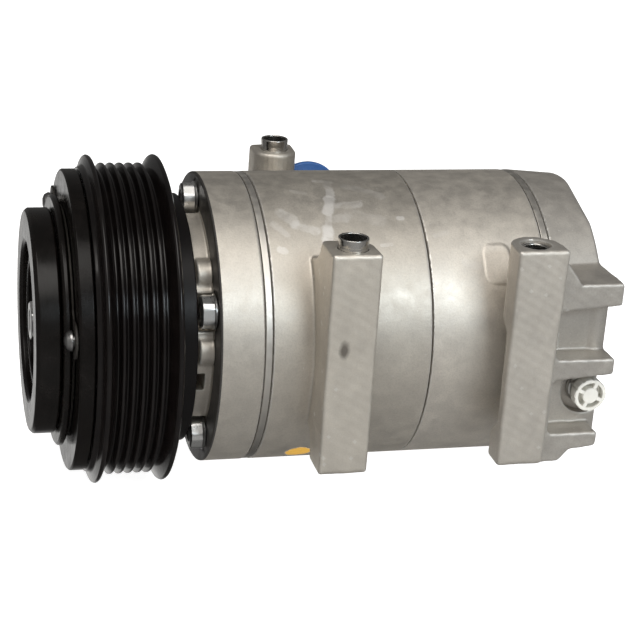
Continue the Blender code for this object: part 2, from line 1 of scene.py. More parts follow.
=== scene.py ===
"""Looks of the swash-plate air-conditioning compressor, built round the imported
frame. Lengths in the helpers are millimetres; x is the station along the
shaft, counted from the front face of the body, and the rear face is 149.2.
"""
import bpy
import bmesh
import json
import math
import numpy as np
from mathutils import Matrix, Vector


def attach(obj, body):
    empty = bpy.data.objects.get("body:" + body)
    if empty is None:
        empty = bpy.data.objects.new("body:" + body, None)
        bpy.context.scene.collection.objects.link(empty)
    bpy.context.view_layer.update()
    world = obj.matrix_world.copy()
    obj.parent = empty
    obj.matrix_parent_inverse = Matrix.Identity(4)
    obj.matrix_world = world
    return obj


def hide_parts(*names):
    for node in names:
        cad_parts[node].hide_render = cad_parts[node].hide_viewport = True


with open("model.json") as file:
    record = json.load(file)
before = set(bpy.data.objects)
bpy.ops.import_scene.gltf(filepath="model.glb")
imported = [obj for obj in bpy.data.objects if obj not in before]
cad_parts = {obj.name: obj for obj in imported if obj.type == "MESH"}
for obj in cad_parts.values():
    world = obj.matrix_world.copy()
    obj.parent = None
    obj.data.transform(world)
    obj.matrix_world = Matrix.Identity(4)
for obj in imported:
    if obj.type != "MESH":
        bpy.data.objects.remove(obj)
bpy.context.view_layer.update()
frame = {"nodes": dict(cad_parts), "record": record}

REAR = 149.2
scene = bpy.context.scene

# ------------------------------------------------------------------ camera
cam_data = bpy.data.cameras.new("camera")
cam_data.lens = 94.786
cam_data.sensor_width = 36.0
cam_data.clip_start = 0.01
cam_data.clip_end = 50.0
camera = bpy.data.objects.new("camera", cam_data)
scene.collection.objects.link(camera)
C_LOC = Vector((-0.265913, -0.605882, 0.231796))
C_RIGHT = Vector((0.96769, -0.24409, 0.06325))
C_UP = Vector((0.02840, 0.35474, 0.93453))
C_BACK = Vector((-0.25055, -0.90254, 0.35021))
camera.matrix_world = Matrix((
    (C_RIGHT.x, C_UP.x, C_BACK.x, C_LOC.x), (C_RIGHT.y, C_UP.y, C_BACK.y, C_LOC.y),
    (C_RIGHT.z, C_UP.z, C_BACK.z, C_LOC.z), (0, 0, 0, 1)))
scene.camera = camera


# ------------------------------------------------------------------ node helpers
class Shader:
    """A Principled material with small helpers for procedural inputs."""

    def __init__(self, name, color=(0.5, 0.5, 0.5), metallic=0.0, roughness=0.5,
                 **sockets):
        self.mat = bpy.data.materials.new(name)
        self.mat.use_nodes = True
        self.t = self.mat.node_tree
        self.b = self.t.nodes["Principled BSDF"]
        self.b.inputs["Base Color"].default_value = (*color, 1)
        self.b.inputs["Metallic"].default_value = metallic
        self.b.inputs["Roughness"].default_value = roughness
        for k, v in sockets.items():
            self.b.inputs[k.replace("_", " ")].default_value = v
        self.mat.diffuse_color = (*color, 1)
        self.coord = self.t.nodes.new("ShaderNodeTexCoord").outputs["Object"]

    def node(self, kind, **props):
        n = self.t.nodes.new(kind)
        for k, v in props.items():
            setattr(n, k, v)
        return n

    def link(self, a, b):
        self.t.links.new(a, b)

    def noise(self, scale, detail=3.0, rough=0.55, distort=0.0, stretch=None, src=None):
        src = src or self.coord
        if stretch:
            m = self.node("ShaderNodeMapping")
            m.inputs["Scale"].default_value = stretch
            self.link(src, m.inputs["Vector"])
            src = m.outputs[0]
        n = self.node("ShaderNodeTexNoise")
        n.inputs["Scale"].default_value = scale
        n.inputs["Detail"].default_value = detail
        n.inputs["Roughness"].default_value = rough
        n.inputs["Distortion"].default_value = distort
        self.link(src, n.inputs["Vector"])
        return n.outputs["Fac"]

    def rings(self, scale, along=1.0, axis="X", detail=2.0):
        """Noise that only varies with the distance from a turning axis and
        the place along it: the marks of a lathe."""
        s = self.node("ShaderNodeSeparateXYZ")
        self.link(self.coord, s.inputs[0])
        a, b, c = {"X": ("X", "Y", "Z"), "Z": ("Z", "X", "Y")}[axis]
        r = self.math("SQRT", self.math("ADD", self.math("POWER", s.outputs[b], 2.0),
                                        self.math("POWER", s.outputs[c], 2.0)))
        v = self.node("ShaderNodeCombineXYZ")
        self.link(self.math("MULTIPLY", s.outputs[a], along), v.inputs["X"])
        self.link(r, v.inputs["Y"])
        return self.noise(scale, detail, 0.6, src=v.outputs[0])

    def math(self, op, a, b=None, clamp=False):
        n = self.node("ShaderNodeMath", operation=op, use_clamp=clamp)
        for i, x in enumerate((a, b)):
            if x is None:
                continue
            if isinstance(x, (int, float)):
                n.inputs[i].default_value = x
            else:
                self.link(x, n.inputs[i])
        return n.outputs[0]

    def ramp(self, fac, stops):
        n = self.node("ShaderNodeValToRGB")
        e = n.color_ramp.elements
        while len(e) > 1:
            e.remove(e[-1])
        e[0].position = stops[0][0]
        e[0].color = self._c(stops[0][1])
        for p, c in stops[1:]:
            k = e.new(p)
            k.color = self._c(c)
        self.link(fac, n.inputs[0])
        return n.outputs[0]

    @staticmethod
    def _c(c):
        return (c, c, c, 1) if isinstance(c, (int, float)) else (*c, 1)

    def mix(self, fac, a, b, blend="MIX"):
        n = self.node("ShaderNodeMix", data_type="RGBA", blend_type=blend)
        ins = [s for s in n.inputs if s.enabled]
        f = n.inputs[0]
        A = [s for s in n.inputs if s.name == "A" and s.type == "RGBA"][0]
        B = [s for s in n.inputs if s.name == "B" and s.type == "RGBA"][0]
        for x, s in ((fac, f), (a, A), (b, B)):
            if isinstance(x, (int, float)):
                s.default_value = x if s is f else (x, x, x, 1)
            elif isinstance(x, tuple):
                s.default_value = (*x, 1)
            else:
                self.link(x, s)
        return [o for o in n.outputs if o.type == "RGBA"][0]

    def set(self, socket, value):
        self.link(value, self.b.inputs[socket])

    def bump(self, *layers):
        """Bump layers, each (height, strength, distance in metres)."""
        last = None
        for h, strength, dist in layers:
            n = self.node("ShaderNodeBump")
            n.inputs["Strength"].default_value = strength
            n.inputs["Distance"].default_value = dist
            self.link(h, n.inputs["Height"])
            if last is not None:
                self.link(last, n.inputs["Normal"])
            last = n.outputs[0]
        self.link(last, self.b.inputs["Normal"])

    def spot(self, centre, radius, squash=(1, 1, 1), soft=0.3, noise=None, amount=0.0):
        """1 inside a blob at a place on the object, 0 outside."""
        m = self.node("ShaderNodeMapping", vector_type="POINT")
        m.inputs["Location"].default_value = tuple(
            -c / radius * s for c, s in zip(centre, squash))
        m.inputs["Scale"].default_value = tuple(s / radius for s in squash)
        self.link(self.coord, m.inputs["Vector"])
        ln = self.node("ShaderNodeVectorMath", operation="LENGTH")
        self.link(m.outputs[0], ln.inputs[0])
        d = ln.outputs["Value"]
        if noise is not None:
            d = self.math("ADD", d, self.math("MULTIPLY", self.math(
                "SUBTRACT", noise, 0.5), amount))
        return self.ramp(d, [(max(0.0, 1 - soft), 1.0), (1.0, 0.0)])

    def stroke(self, a, b, radius, soft=0.4, noise=None, amount=0.0):
        """1 along a short mark from a to b, 0 beyond its half width."""
        ab = [q - p for p, q in zip(a, b)]
        n2 = max(sum(c * c for c in ab), 1e-12)
        pa = self.node("ShaderNodeVectorMath", operation="SUBTRACT")
        self.link(self.coord, pa.inputs[0])
        pa.inputs[1].default_value = tuple(a)
        dt = self.node("ShaderNodeVectorMath", operation="DOT_PRODUCT")
        self.link(pa.outputs[0], dt.inputs[0])
        dt.inputs[1].default_value = tuple(c / n2 for c in ab)
        t = self.math("ADD", dt.outputs["Value"], 0.0, clamp=True)
        sc = self.node("ShaderNodeVectorMath", operation="SCALE")
        sc.inputs[0].default_value = tuple(ab)
        self.link(t, sc.inputs["Scale"])
        df = self.node("ShaderNodeVectorMath", operation="SUBTRACT")
        self.link(pa.outputs[0], df.inputs[0])
        self.link(sc.outputs[0], df.inputs[1])
        ln = self.node("ShaderNodeVectorMath", operation="LENGTH")
        self.link(df.outputs[0], ln.inputs[0])
        d = self.math("DIVIDE", ln.outputs["Value"], radius)
        if noise is not None:
            d = self.math("ADD", d, self.math("MULTIPLY", self.math(
                "SUBTRACT", noise, 0.5), amount))
        return self.ramp(d, [(max(0.0, 1 - soft), 1.0), (1.0, 0.0)])


def place(s, y, z):
    """A point on the object, in metres, from a station and y, z in mm."""
    return ((s - REAR) / 1000, y / 1000, z / 1000)


def cast_aluminium(name, tint=(0.63, 0.60, 0.56), strokes=(), paint=None, dirt_and_shade=(),
                   rough=(0.44, 0.58), grain=0.5, coat=False, lug=False):
    """Sand-blasted aluminium casting: mottled grey, a fine grain, brighter
    worn edges, darker corners, and handling marks."""
    m = Shader(name, tint, 0.88, 0.5)
    large = m.noise(38, 4.0, 0.6, 0.6)
    mid = m.noise(170, 5.0, 0.65, 0.3)
    fine = m.noise(1500, 3.0, 0.7)
    pits = m.noise(900, 2.0, 0.5)
    base = m.mix(m.ramp(large, [(0.3, 0.0), (0.7, 1.0)]),
                 tuple(c * 0.90 for c in tint), tuple(min(1, c * 1.07) for c in tint))
    base = m.mix(m.ramp(mid, [(0.35, 0.30), (0.62, 0.0)]), base,
                 (tint[0] * 0.72, tint[1] * 0.72, tint[2] * 0.73))
    base = m.mix(m.ramp(fine, [(0.38, 0.22), (0.55, 0.0)]), base,
                 (tint[0] * 0.6, tint[1] * 0.59, tint[2] * 0.58))
    base = m.mix(m.ramp(pits, [(0.70, 0.0), (0.76, 0.35)]), base, (0.84, 0.83, 0.80))
    geo = m.node("ShaderNodeNewGeometry")
    edge = m.ramp(geo.outputs["Pointiness"], [(0.515, 0.0), (0.56, 0.55)])
    crease = m.ramp(geo.outputs["Pointiness"], [(0.44, 0.5), (0.487, 0.0)])
    base = m.mix(edge, base, (0.80, 0.79, 0.76))
    base = m.mix(crease, base, (tint[0] * 0.5, tint[1] * 0.48, tint[2] * 0.45))
    r = m.ramp(mid, [(0.3, rough[0]), (0.7, rough[1])])
    metal = None
    if strokes:
        ragged = m.noise(190, 3.0, 0.6, 0.5)
        inside = m.ramp(m.noise(120, 3.0, 0.6, 0.8), [(0.38, 0.35), (0.56, 1.0)])
        for p, q, radius, strength in strokes:
            mask = m.stroke(p, q, radius, 0.35, ragged, 1.3)
            mask = m.math("MULTIPLY", m.math("MULTIPLY", mask, inside), strength)
            base = m.mix(mask, base, (0.80, 0.775, 0.74))
            r = m.math("ADD", r, m.math("MULTIPLY", mask, 0.10), clamp=True)
    if lug:
        # the outer faces of the lugs are painted paler and warmer, a painted reflection of the bright floor in
        # front, and made a little rougher
        sl = m.node("ShaderNodeSeparateXYZ")
        m.link(m.coord, sl.inputs[0])
        skin = m.ramp(m.math("MULTIPLY", sl.outputs["Y"], -1.0), [(0.0706, 0.0), (0.0716, 1.0)])
        base = m.mix(m.math("MULTIPLY", skin, 0.75), base, (0.90, 0.835, 0.735))
        r = m.math("ADD", r, m.math("MULTIPLY", skin, 0.08), clamp=True)
    if coat:
        # the turned front face is painted near black and less metallic: painted shade for the deep shade
        # between the nose and the rim
        sx = m.node("ShaderNodeSeparateXYZ")
        m.link(m.coord, sx.inputs[0])
        rr = m.math("SQRT", m.math("ADD", m.math("POWER", sx.outputs["Y"], 2.0),
                                   m.math("POWER", sx.outputs["Z"], 2.0)))
        face = m.math("MULTIPLY", m.math("LESS_THAN", m.math("ABSOLUTE", m.math(
            "ADD", sx.outputs["X"], 0.1489)), 0.00055), m.math("GREATER_THAN", rr, 0.0447))
        base = m.mix(m.math("MULTIPLY", face, 0.96), base, (0.012, 0.010, 0.009))
        metal = m.math("SUBTRACT", 0.88, m.math("MULTIPLY", face, 0.8))
        m.set("Metallic", metal)
    # dark spots: a small dark mark on the front lug's outer face, and painted shade on the rear lug's left face
    for centre, radius, squash, strength in dirt_and_shade:
        mask = m.math("MULTIPLY", m.spot(centre, radius, squash, 0.6, mid, 0.7), strength)
        base = m.mix(mask, base, (0.16, 0.14, 0.12))
    if paint:
        centre, radius, squash, color = paint
        mask = m.spot(centre, radius, squash, 0.15, m.noise(420, 4.0, 0.7), 0.5)
        base = m.mix(mask, base, color)
        metal = m.math("SUBTRACT", 0.88, m.math("MULTIPLY", mask, 0.88))
        m.set("Metallic", metal)
        r = m.mix(mask, r, 0.5)
    m.set("Base Color", base)
    m.set("Roughness", r)
    m.bump((mid, 0.22, 0.00035), (fine, grain, 0.00009), (m.noise(3200, 2.0, 0.6), 0.35, 0.00004))
    return m.mat


def turned_metal(name, tint, rough, axis="X", scale=900, strength=0.25, metal=1.0):
    m = Shader(name, tint, metal, rough)
    ring = m.rings(scale, 1.0, axis, 3.0)
    mottle = m.noise(300, 4.0, 0.6)
    base = m.mix(m.ramp(ring, [(0.35, 0.25), (0.6, 0.0)]), tint,
                 tuple(c * 0.7 for c in tint))
    base = m.mix(m.ramp(mottle, [(0.4, 0.2), (0.65, 0.0)]), base,
                 tuple(c * 0.75 for c in tint))
    m.set("Base Color", base)
    m.set("Roughness", m.ramp(mottle, [(0.3, rough * 0.8), (0.7, min(1, rough * 1.3))]))
    m.bump((ring, strength, 0.00005), (mottle, 0.1, 0.0001))
    return m.mat


def zinc(name, tint=(0.70, 0.70, 0.69), rough=0.24, metal=1.0):
    """Zinc plate: bright, slightly clouded, with small handling scratches."""
    m = Shader(name, tint, metal, rough)
    cloud = m.noise(420, 4.0, 0.6, 0.4)
    scratch = m.noise(900, 4.0, 0.7, stretch=(1, 6, 0.6))
    base = m.mix(m.ramp(cloud, [(0.3, 0.35), (0.65, 0.0)]), tint,
                 (tint[0] * 0.62, tint[1] * 0.62, tint[2] * 0.60))
    base = m.mix(m.ramp(scratch, [(0.62, 0.0), (0.70, 0.4)]), base, (0.9, 0.9, 0.9))
    m.set("Base Color", base)
    m.set("Roughness", m.ramp(cloud, [(0.3, rough * 1.5), (0.7, rough * 0.75)]))
    m.bump((cloud, 0.12, 0.00012), (scratch, 0.12, 0.00004))
    return m.mat


def enamel(name, tint=(0.0045, 0.0035, 0.0035), rough=0.2, spec=0.35, peel=0.12,
           dust=0.3, lathe=False):
    """Black electro-coat or paint over steel: a faint orange peel, thin dust
    and small rub marks."""
    m = Shader(name, tint, 0.0, rough, Specular_IOR_Level=spec)
    cloud = m.noise(120, 5.0, 0.6, 0.5)
    peel_n = m.noise(750, 2.0, 0.5)
    speck = m.noise(2300, 2.0, 0.6)
    base = m.mix(m.ramp(cloud, [(0.45, 0.0), (0.75, dust)]), tint,
                 (0.016, 0.0125, 0.011))
    base = m.mix(m.ramp(speck, [(0.74, 0.0), (0.80, 0.5)]), base, (0.06, 0.055, 0.05))
    m.set("Base Color", base)
    m.set("Roughness", m.ramp(cloud, [(0.3, rough * 0.85), (0.7, rough * 1.35)]))
    layers = [(peel_n, peel, 0.00006)]
    if lathe:
        layers.append((m.rings(1100, 1.0, "X", 2.0), 0.18, 0.00004))
    m.bump(*layers)
    return m.mat


def plastic(name, tint, rough, spec=0.5, grain=0.25):
    m = Shader(name, tint, 0.0, rough, Specular_IOR_Level=spec)
    cloud = m.noise(150, 4.0, 0.6)
    fine = m.noise(1800, 2.0, 0.5)
    m.set("Base Color", m.mix(m.ramp(cloud, [(0.35, 0.35), (0.7, 0.0)]), tint,
                              tuple(c * 0.8 for c in tint)))
    m.set("Roughness", m.ramp(fine, [(0.3, rough * 0.85), (0.7, min(1, rough * 1.2))]))
    m.bump((fine, grain, 0.00005), (cloud, 0.15, 0.0002))
    return m.mat


# ------------------------------------------------------------------ materials
# coat=True paints the front head's turned front face near black, as painted shade
M_FRONT = cast_aluminium("cast_front_head", (0.655, 0.612, 0.545), coat=True)
# lug=True paints the outer faces of the lugs paler, a painted reflection of the floor
M_BLOCK = cast_aluminium(
    "cast_front_block", (0.645, 0.600, 0.53),
    strokes=[(place(26.5, -26.3, 49.8), place(31.0, -30.5, 47.3), 0.0026, 0.62),
             (place(30.5, -31.5, 46.6), place(38.4, -33.8, 45.0), 0.0021, 0.62),
             (place(22.5, -31.0, 47.0), place(27.0, -35.0, 44.1), 0.0016, 0.35),
             (place(44.0, -6.0, 56.0), place(49.5, -7.4, 55.8), 0.0014, 0.55),
             (place(47.9, -9.7, 55.5), place(47.4, -17.0, 53.7), 0.0020, 0.70),
             (place(46.6, -19.5, 52.8), place(44.5, -26.1, 49.9), 0.0024, 0.85),
             (place(44.5, -28.0, 48.8), place(43.2, -34.0, 44.8), 0.0015, 0.75),
             (place(42.9, -33.5, 45.2), place(42.2, -39.5, 40.1), 0.0026, 0.90),
             (place(45.5, -23.5, 51.1), place(57.5, -22.4, 51.6), 0.0022, 0.55),
             (place(55.0, -11.0, 55.2), place(67.0, -18.0, 53.3), 0.0024, 0.30),
             (place(46.0, -29.5, 47.9), place(51.5, -28.6, 48.5), 0.0024, 0.45),
             (place(52.0, -27.0, 49.4), place(64.0, -30.5, 47.3), 0.0030, 0.22),
             (place(33.0, -14.0, 54.5), place(38.0, -16.0, 54.0), 0.0012, 0.35),
             (place(71.3, -29.2, 48.1), place(72.6, -29.4, 48.0), 0.0013, 0.70),
             (place(23.6, -39.5, 40.1), place(25.4, -40.2, 39.4), 0.0014, 0.55),
             (place(62.5, -38.9, 40.7), place(66.5, -38.7, 40.9), 0.0008, 0.50)],
    dirt_and_shade=[(place(41.2, -72.0, 12.6), 0.0026, (1.1, 1.0, 0.62), 0.85)],
    paint=(place(36.4, -35.5, -44.0), 0.0062, (1.15, 1.0, 0.9), (0.60, 0.33, 0.03)), lug=True)
# the rear block is tinted paler than the front block: a painted highlight standing in for the key light's broad
# highlight on the rear of the barrel
M_BLOCK_R = cast_aluminium(
    "cast_rear_block", (0.755, 0.705, 0.63),
    strokes=[(place(84.0, -36.0, 43.3), place(89.0, -35.0, 44.1), 0.0012, 0.30),
             (place(94.0, -44.0, 35.1), place(99.0, -45.0, 33.8), 0.0018, 0.22)])
# the dark patch on the rear lug's left face (station 103.9) is painted shade
M_REAR = cast_aluminium("cast_rear_head", (0.61, 0.575, 0.525), rough=(0.5, 0.62), grain=0.6,
                        dirt_and_shade=[(place(103.9, -66.0, 31.0), 0.0095, (3.0, 1.0, 0.42), 0.20)], lug=True)
M_PLATE = turned_metal("valve_plate_steel", (0.75, 0.715, 0.66), 0.42, strength=0.12)
M_GASKET = plastic("gasket_coating", (0.07, 0.062, 0.052), 0.6)
M_ZINC = zinc("zinc_plate", rough=0.30)
M_SLEEVE = turned_metal("bush_steel", (0.54, 0.525, 0.50), 0.23, "Z", 1400, 0.2)
M_STEEL = turned_metal("ground_steel", (0.42, 0.42, 0.43), 0.25)
M_BLACK = enamel("pulley_enamel", (0.0042, 0.0032, 0.0031), rough=0.15, spec=0.30, peel=0.06, lathe=True)
M_SATIN = enamel("hub_coat", (0.0042, 0.0034, 0.0029), 0.22, 0.20, 0.12, 0.35)
M_ARM = enamel("armature_coat", (0.0040, 0.0032, 0.0028), 0.22, 0.14, 0.10, 0.30, True)
M_SPRING = turned_metal("spring_steel", (0.05, 0.045, 0.04), 0.5, strength=0.1, metal=0.6)
M_RUBBER = plastic("damper_rubber", (0.012, 0.011, 0.010), 0.75, 0.3, 0.5)
M_COIL = plastic("coil_resin", (0.005, 0.004, 0.004), 0.34, 0.18, 0.3)
M_WHITE = plastic("white_nylon", (0.70, 0.685, 0.63), 0.42, 0.4, 0.3)
M_RIVET = turned_metal("rivet_steel", (0.34, 0.335, 0.33), 0.28, strength=0.1)
M_BLUE = plastic("blue_cap_plastic", (0.045, 0.14, 0.40), 0.38, 0.5, 0.3)
M_PISTON = turned_metal("piston_alloy", (0.66, 0.66, 0.65), 0.3)

BY_SLOT = {"cast": M_REAR, "machined": M_PISTON, "zinc": M_ZINC, "dark_steel": M_STEEL,
           "black_enamel": M_BLACK, "rubber": M_RUBBER, "coil": M_COIL,
           "white_nylon": M_WHITE, "blue_plastic": M_BLUE}
slot_of = {s["node"]: s["material_slot"] for s in frame["record"]["subparts"]}
for name, ob in frame["nodes"].items():
    mt = BY_SLOT[slot_of[name]]
    if ob.data.materials:
        for i in range(len(ob.data.materials)):
            ob.material_slots[i].material = mt
    else:
        ob.data.materials.append(mt)


# ------------------------------------------------------------------ mesh helpers
def X(s):
    return (s - REAR) * 0.001


def polar(angle_deg, radius):
    a = math.radians(angle_deg)
    return -radius * math.cos(a), radius * math.sin(a)


def mesh_object(name, verts, faces, mat, smooth=35.0):
    """Object from vertex and face arrays, vertices in metres."""
    me = bpy.data.meshes.new(name)
    if isinstance(faces, np.ndarray):
        n, k = faces.shape
        me.vertices.add(len(verts))
        me.vertices.foreach_set("co", np.asarray(verts, np.float32).ravel())
        me.loops.add(n * k)
        me.loops.foreach_set("vertex_index", faces.astype(np.int32).ravel())
        me.polygons.add(n)
        me.polygons.foreach_set("loop_start", np.arange(0, n * k, k, dtype=np.int32))
        me.update(calc_edges=True)
        me.validate()
    else:
        me.from_pydata([tuple(v) for v in verts], [], faces)
        me.update()
    ob = bpy.data.objects.new(name, me)
    scene.collection.objects.link(ob)
    me.materials.append(mat)
    me.shade_smooth()
    if smooth:
        me.set_sharp_from_angle(angle=math.radians(smooth))
    return ob


def rounded(pts, default=0.4, steps=3):
    """A closed outline with its corners rounded. A point is (a, b) or
    (a, b, radius). Support points beside each arc keep the flats flat."""
    out = []
    n = len(pts)
    for i in range(n):
        p = np.array(pts[i][:2], float)
        a = np.array(pts[i - 1][:2], float)
        b = np.array(pts[(i + 1) % n][:2], float)
        r = pts[i][2] if len(pts[i]) > 2 else default
        u, w = a - p, b - p
        lu, lw = np.linalg.norm(u), np.linalg.norm(w)
        u, w = u / lu, w / lw
        cosang = float(np.clip(u @ w, -1, 1))
        ang = math.acos(cosang)
        if r <= 0 or ang > math.radians(172):
            out.append(tuple(p))
            continue
        t = r / math.tan(ang / 2)
        t = min(t, 0.42 * lu, 0.42 * lw)
        r = t * math.tan(ang / 2)
        mid = u + w
        mid = mid / np.linalg.norm(mid)
        c = p + mid * (r / math.sin(ang / 2))
        s0, s1 = p + u * t - c, p + w * t - c
        a0, a1 = math.atan2(s0[1], s0[0]), math.atan2(s1[1], s1[0])
        d = (a1 - a0 + math.pi) % (2 * math.pi) - math.pi
        eps = min(0.06, 0.3 * t)
        out.append(tuple(p + u * (t + eps)))
        for k in range(steps + 1):
            q = a0 + d * k / steps
            out.append((c[0] + r * math.cos(q), c[1] + r * math.sin(q)))
        out.append(tuple(p + w * (t + eps)))
    return out


def turned(name, outline, mat, body, replaces=(), slot=None, seg=192, default=0.4,
           steps=3, axis="X", centre=(0, 0, 0), keep_axis=(), smooth=32.0):
    """A turned piece: a closed outline of (station or height, radius) spun
    about the shaft axis, or about a vertical or a lateral axis at centre.
    Corners with radius 0 lie on the axis."""
    pts = [p if p[1] > 1e-6 else (p[0], 0.0, 0.0) for p in outline]
    prof = rounded(pts, default, steps)
    prof = np.array([(a, max(b, 0.0)) for a, b in prof])
    n = len(prof)
    on = prof[:, 1] < 1e-5
    verts, rowid = [], []
    th = np.arange(seg) * 2 * math.pi / seg
    for i, (a, r) in enumerate(prof):
        if on[i]:
            rowid.append([len(verts)] * seg)
            verts.append((a, 0.0, 0.0))
        else:
            rowid.append(list(range(len(verts), len(verts) + seg)))
            verts.extend((a, -r * math.cos(t), r * math.sin(t)) for t in th)
    faces = []
    for i in range(n):
        j = (i + 1) % n
        if on[i] and on[j]:
            continue
        A, B = rowid[i], rowid[j]
        for k in range(seg):
            l = (k + 1) % seg
            f = [A[k], A[l], B[l], B[k]]
            q = []
            for v in f:
                if v not in q:
                    q.append(v)
            if len(q) > 2:
                faces.append(q)
    V = np.array(verts)
    if axis == "X":
        P = np.stack([(V[:, 0] - REAR), V[:, 1] + centre[1], V[:, 2] + centre[2]], 1)
    elif axis == "Z":
        P = np.stack([V[:, 1] + centre[0] - REAR, V[:, 2] + centre[1], V[:, 0] + centre[2]], 1)
    else:
        P = np.stack([V[:, 2] + centre[0] - REAR, V[:, 0] + centre[1], V[:, 1] + centre[2]], 1)
    ob = mesh_object(name, P * 0.001, faces, mat, None)
    tidy(ob, smooth)
    settle(ob, body, replaces, slot)
    return ob


def tidy(ob, smooth=32.0):
    bm = bmesh.new()
    bm.from_mesh(ob.data)
    bmesh.ops.remove_doubles(bm, verts=bm.verts, dist=1e-7)
    bmesh.ops.recalc_face_normals(bm, faces=bm.faces)
    bm.to_mesh(ob.data)
    bm.free()
    ob.data.shade_smooth()
    if smooth:
        ob.data.set_sharp_from_angle(angle=math.radians(smooth))


def settle(ob, body, replaces=(), slot=None):
    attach(ob, body)
    if isinstance(replaces, str):
        replaces = (replaces,)
    if replaces:
        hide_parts(*replaces)
    if slot is None and replaces:
        slot = slot_of[replaces[0]]


def carve(ob, cutter, op="DIFFERENCE", solver="MANIFOLD"):
    """Boolean with a throwaway object, applied to the mesh."""
    m = ob.modifiers.new("cut", "BOOLEAN")
    m.operation = op
    m.object = cutter
    m.solver = solver
    bpy.context.view_layer.update()
    dg = bpy.context.evaluated_depsgraph_get()
    me = bpy.data.meshes.new_from_object(ob.evaluated_get(dg))
    if len(me.polygons) < 12 and solver == "MANIFOLD":
        ob.modifiers.clear()
        return carve(ob, cutter, op, "EXACT")
    ob.modifiers.clear()
    old = ob.data
    name = old.name
    ob.data = me
    bpy.data.meshes.remove(old)
    me.name = name
    return ob


def drop(*obs):
    for o in obs:
        bpy.data.objects.remove(o, do_unlink=True)


def rod(p0, p1, r, seg=48, r1=None):
    """A plain closed cylinder used as a cutter or a base; stations, mm."""
    a, b = Vector((X(p0[0]), p0[1] * .001, p0[2] * .001)), Vector((X(p1[0]), p1[1] * .001, p1[2] * .001))
    q = (b - a).normalized().to_track_quat("Z", "Y")
    bm = bmesh.new()
    bmesh.ops.create_cone(bm, cap_ends=True, segments=seg, radius1=r * .001,
                          radius2=(r if r1 is None else r1) * .001, depth=(b - a).length,
                          matrix=Matrix.Translation((a + b) / 2) @ q.to_matrix().to_4x4())
    me = bpy.data.meshes.new("cutter")
    bm.to_mesh(me)
    bm.free()
    ob = bpy.data.objects.new("cutter", me)
    scene.collection.objects.link(ob)
    return ob


# ------------------------------------------------------------------ distance fields
def sq(a):
    return a * a


def f_union(a, b, r=0.0):
    """Union with a round fillet of radius r."""
    if r <= 0:
        return np.minimum(a, b)
    u, v = np.maximum(r - a, 0), np.maximum(r - b, 0)
    return np.maximum(r, np.minimum(a, b)) - np.sqrt(u * u + v * v)


def f_and(a, b, r=0.0):
    """Intersection with its edge rounded to radius r."""
    if r <= 0:
        return np.maximum(a, b)
    u, v = np.maximum(r + a, 0), np.maximum(r + b, 0)
    return np.minimum(-r, np.maximum(a, b)) + np.sqrt(u * u + v * v)


def f_cut(a, b, r=0.0):
    return f_and(a, -b, r)


def slab(t, lo, hi):
    return np.abs(t - (lo + hi) / 2) - (hi - lo) / 2


def f_box(P, lo, hi, r=1.0):
    x, y, z = P
    qx = slab(x, lo[0], hi[0]) + r
    qy = slab(y, lo[1], hi[1]) + r
    qz = slab(z, lo[2], hi[2]) + r
    out = np.sqrt(sq(np.maximum(qx, 0)) + sq(np.maximum(qy, 0)) + sq(np.maximum(qz, 0)))
    return out + np.minimum(np.maximum(qx, np.maximum(qy, qz)), 0) - r


def f_cyl(P, axis, lo, hi, c, rad, r=0.0):
    """Cylinder along an axis; c is its centre in the other two axes."""
    x, y, z = P
    if axis == "x":
        d, t = np.sqrt(sq(y - c[0]) + sq(z - c[1])) - rad, slab(x, lo, hi)
    elif axis == "y":
        d, t = np.sqrt(sq(x - c[0]) + sq(z - c[1])) - rad, slab(y, lo, hi)
    else:
        d, t = np.sqrt(sq(x - c[0]) + sq(y - c[1])) - rad, slab(z, lo, hi)
    return f_and(d, t, r) if r > 0 else np.maximum(d, t)


def f_poly(a, b, pts):
    """Signed distance in a plane to a closed polygon."""
    pts = np.array([p[:2] for p in pts], float)
    d = None
    s = None
    n = len(pts)
    for i in range(n):
        p, q = pts[i], pts[(i + 1) % n]
        ex, ey = q - p
        wx, wy = a - p[0], b - p[1]
        t = np.clip((wx * ex + wy * ey) / (ex * ex + ey * ey), 0, 1)
        dd = sq(wx - ex * t) + sq(wy - ey * t)
        d = dd if d is None else np.minimum(d, dd)
        c1, c2 = (p[1] <= b), (q[1] > b)
        c3 = (ex * wy) > (ey * wx)
        flip = (c1 & c2 & c3) | (~c1 & ~c2 & ~c3)
        s = flip if s is None else s ^ flip
    return np.where(s, -1.0, 1.0) * np.sqrt(d)


def f_prism(P, plane, pts, lo, hi, r=1.5):
    x, y, z = P
    if plane == "yz":
        return f_and(f_poly(y, z, pts), slab(x, lo, hi), r)
    if plane == "xz":
        return f_and(f_poly(x, z, pts), slab(y, lo, hi), r)
    return f_and(f_poly(x, y, pts), slab(z, lo, hi), r)


def ripple(P, size=9.0, amount=0.1):
    """A small smooth unevenness, as an as-cast skin has."""
    x, y, z = P
    k = 2 * math.pi / size
    return amount * (np.sin(k * (x + 0.3 * y) + 0.7) * np.sin(k * (0.9 * y - 0.4 * z) + 1.9)
                     + 0.6 * np.sin(k * 1.7 * (z - 0.2 * x) + 0.4) * np.sin(k * 1.9 * (x + 0.5 * z)))


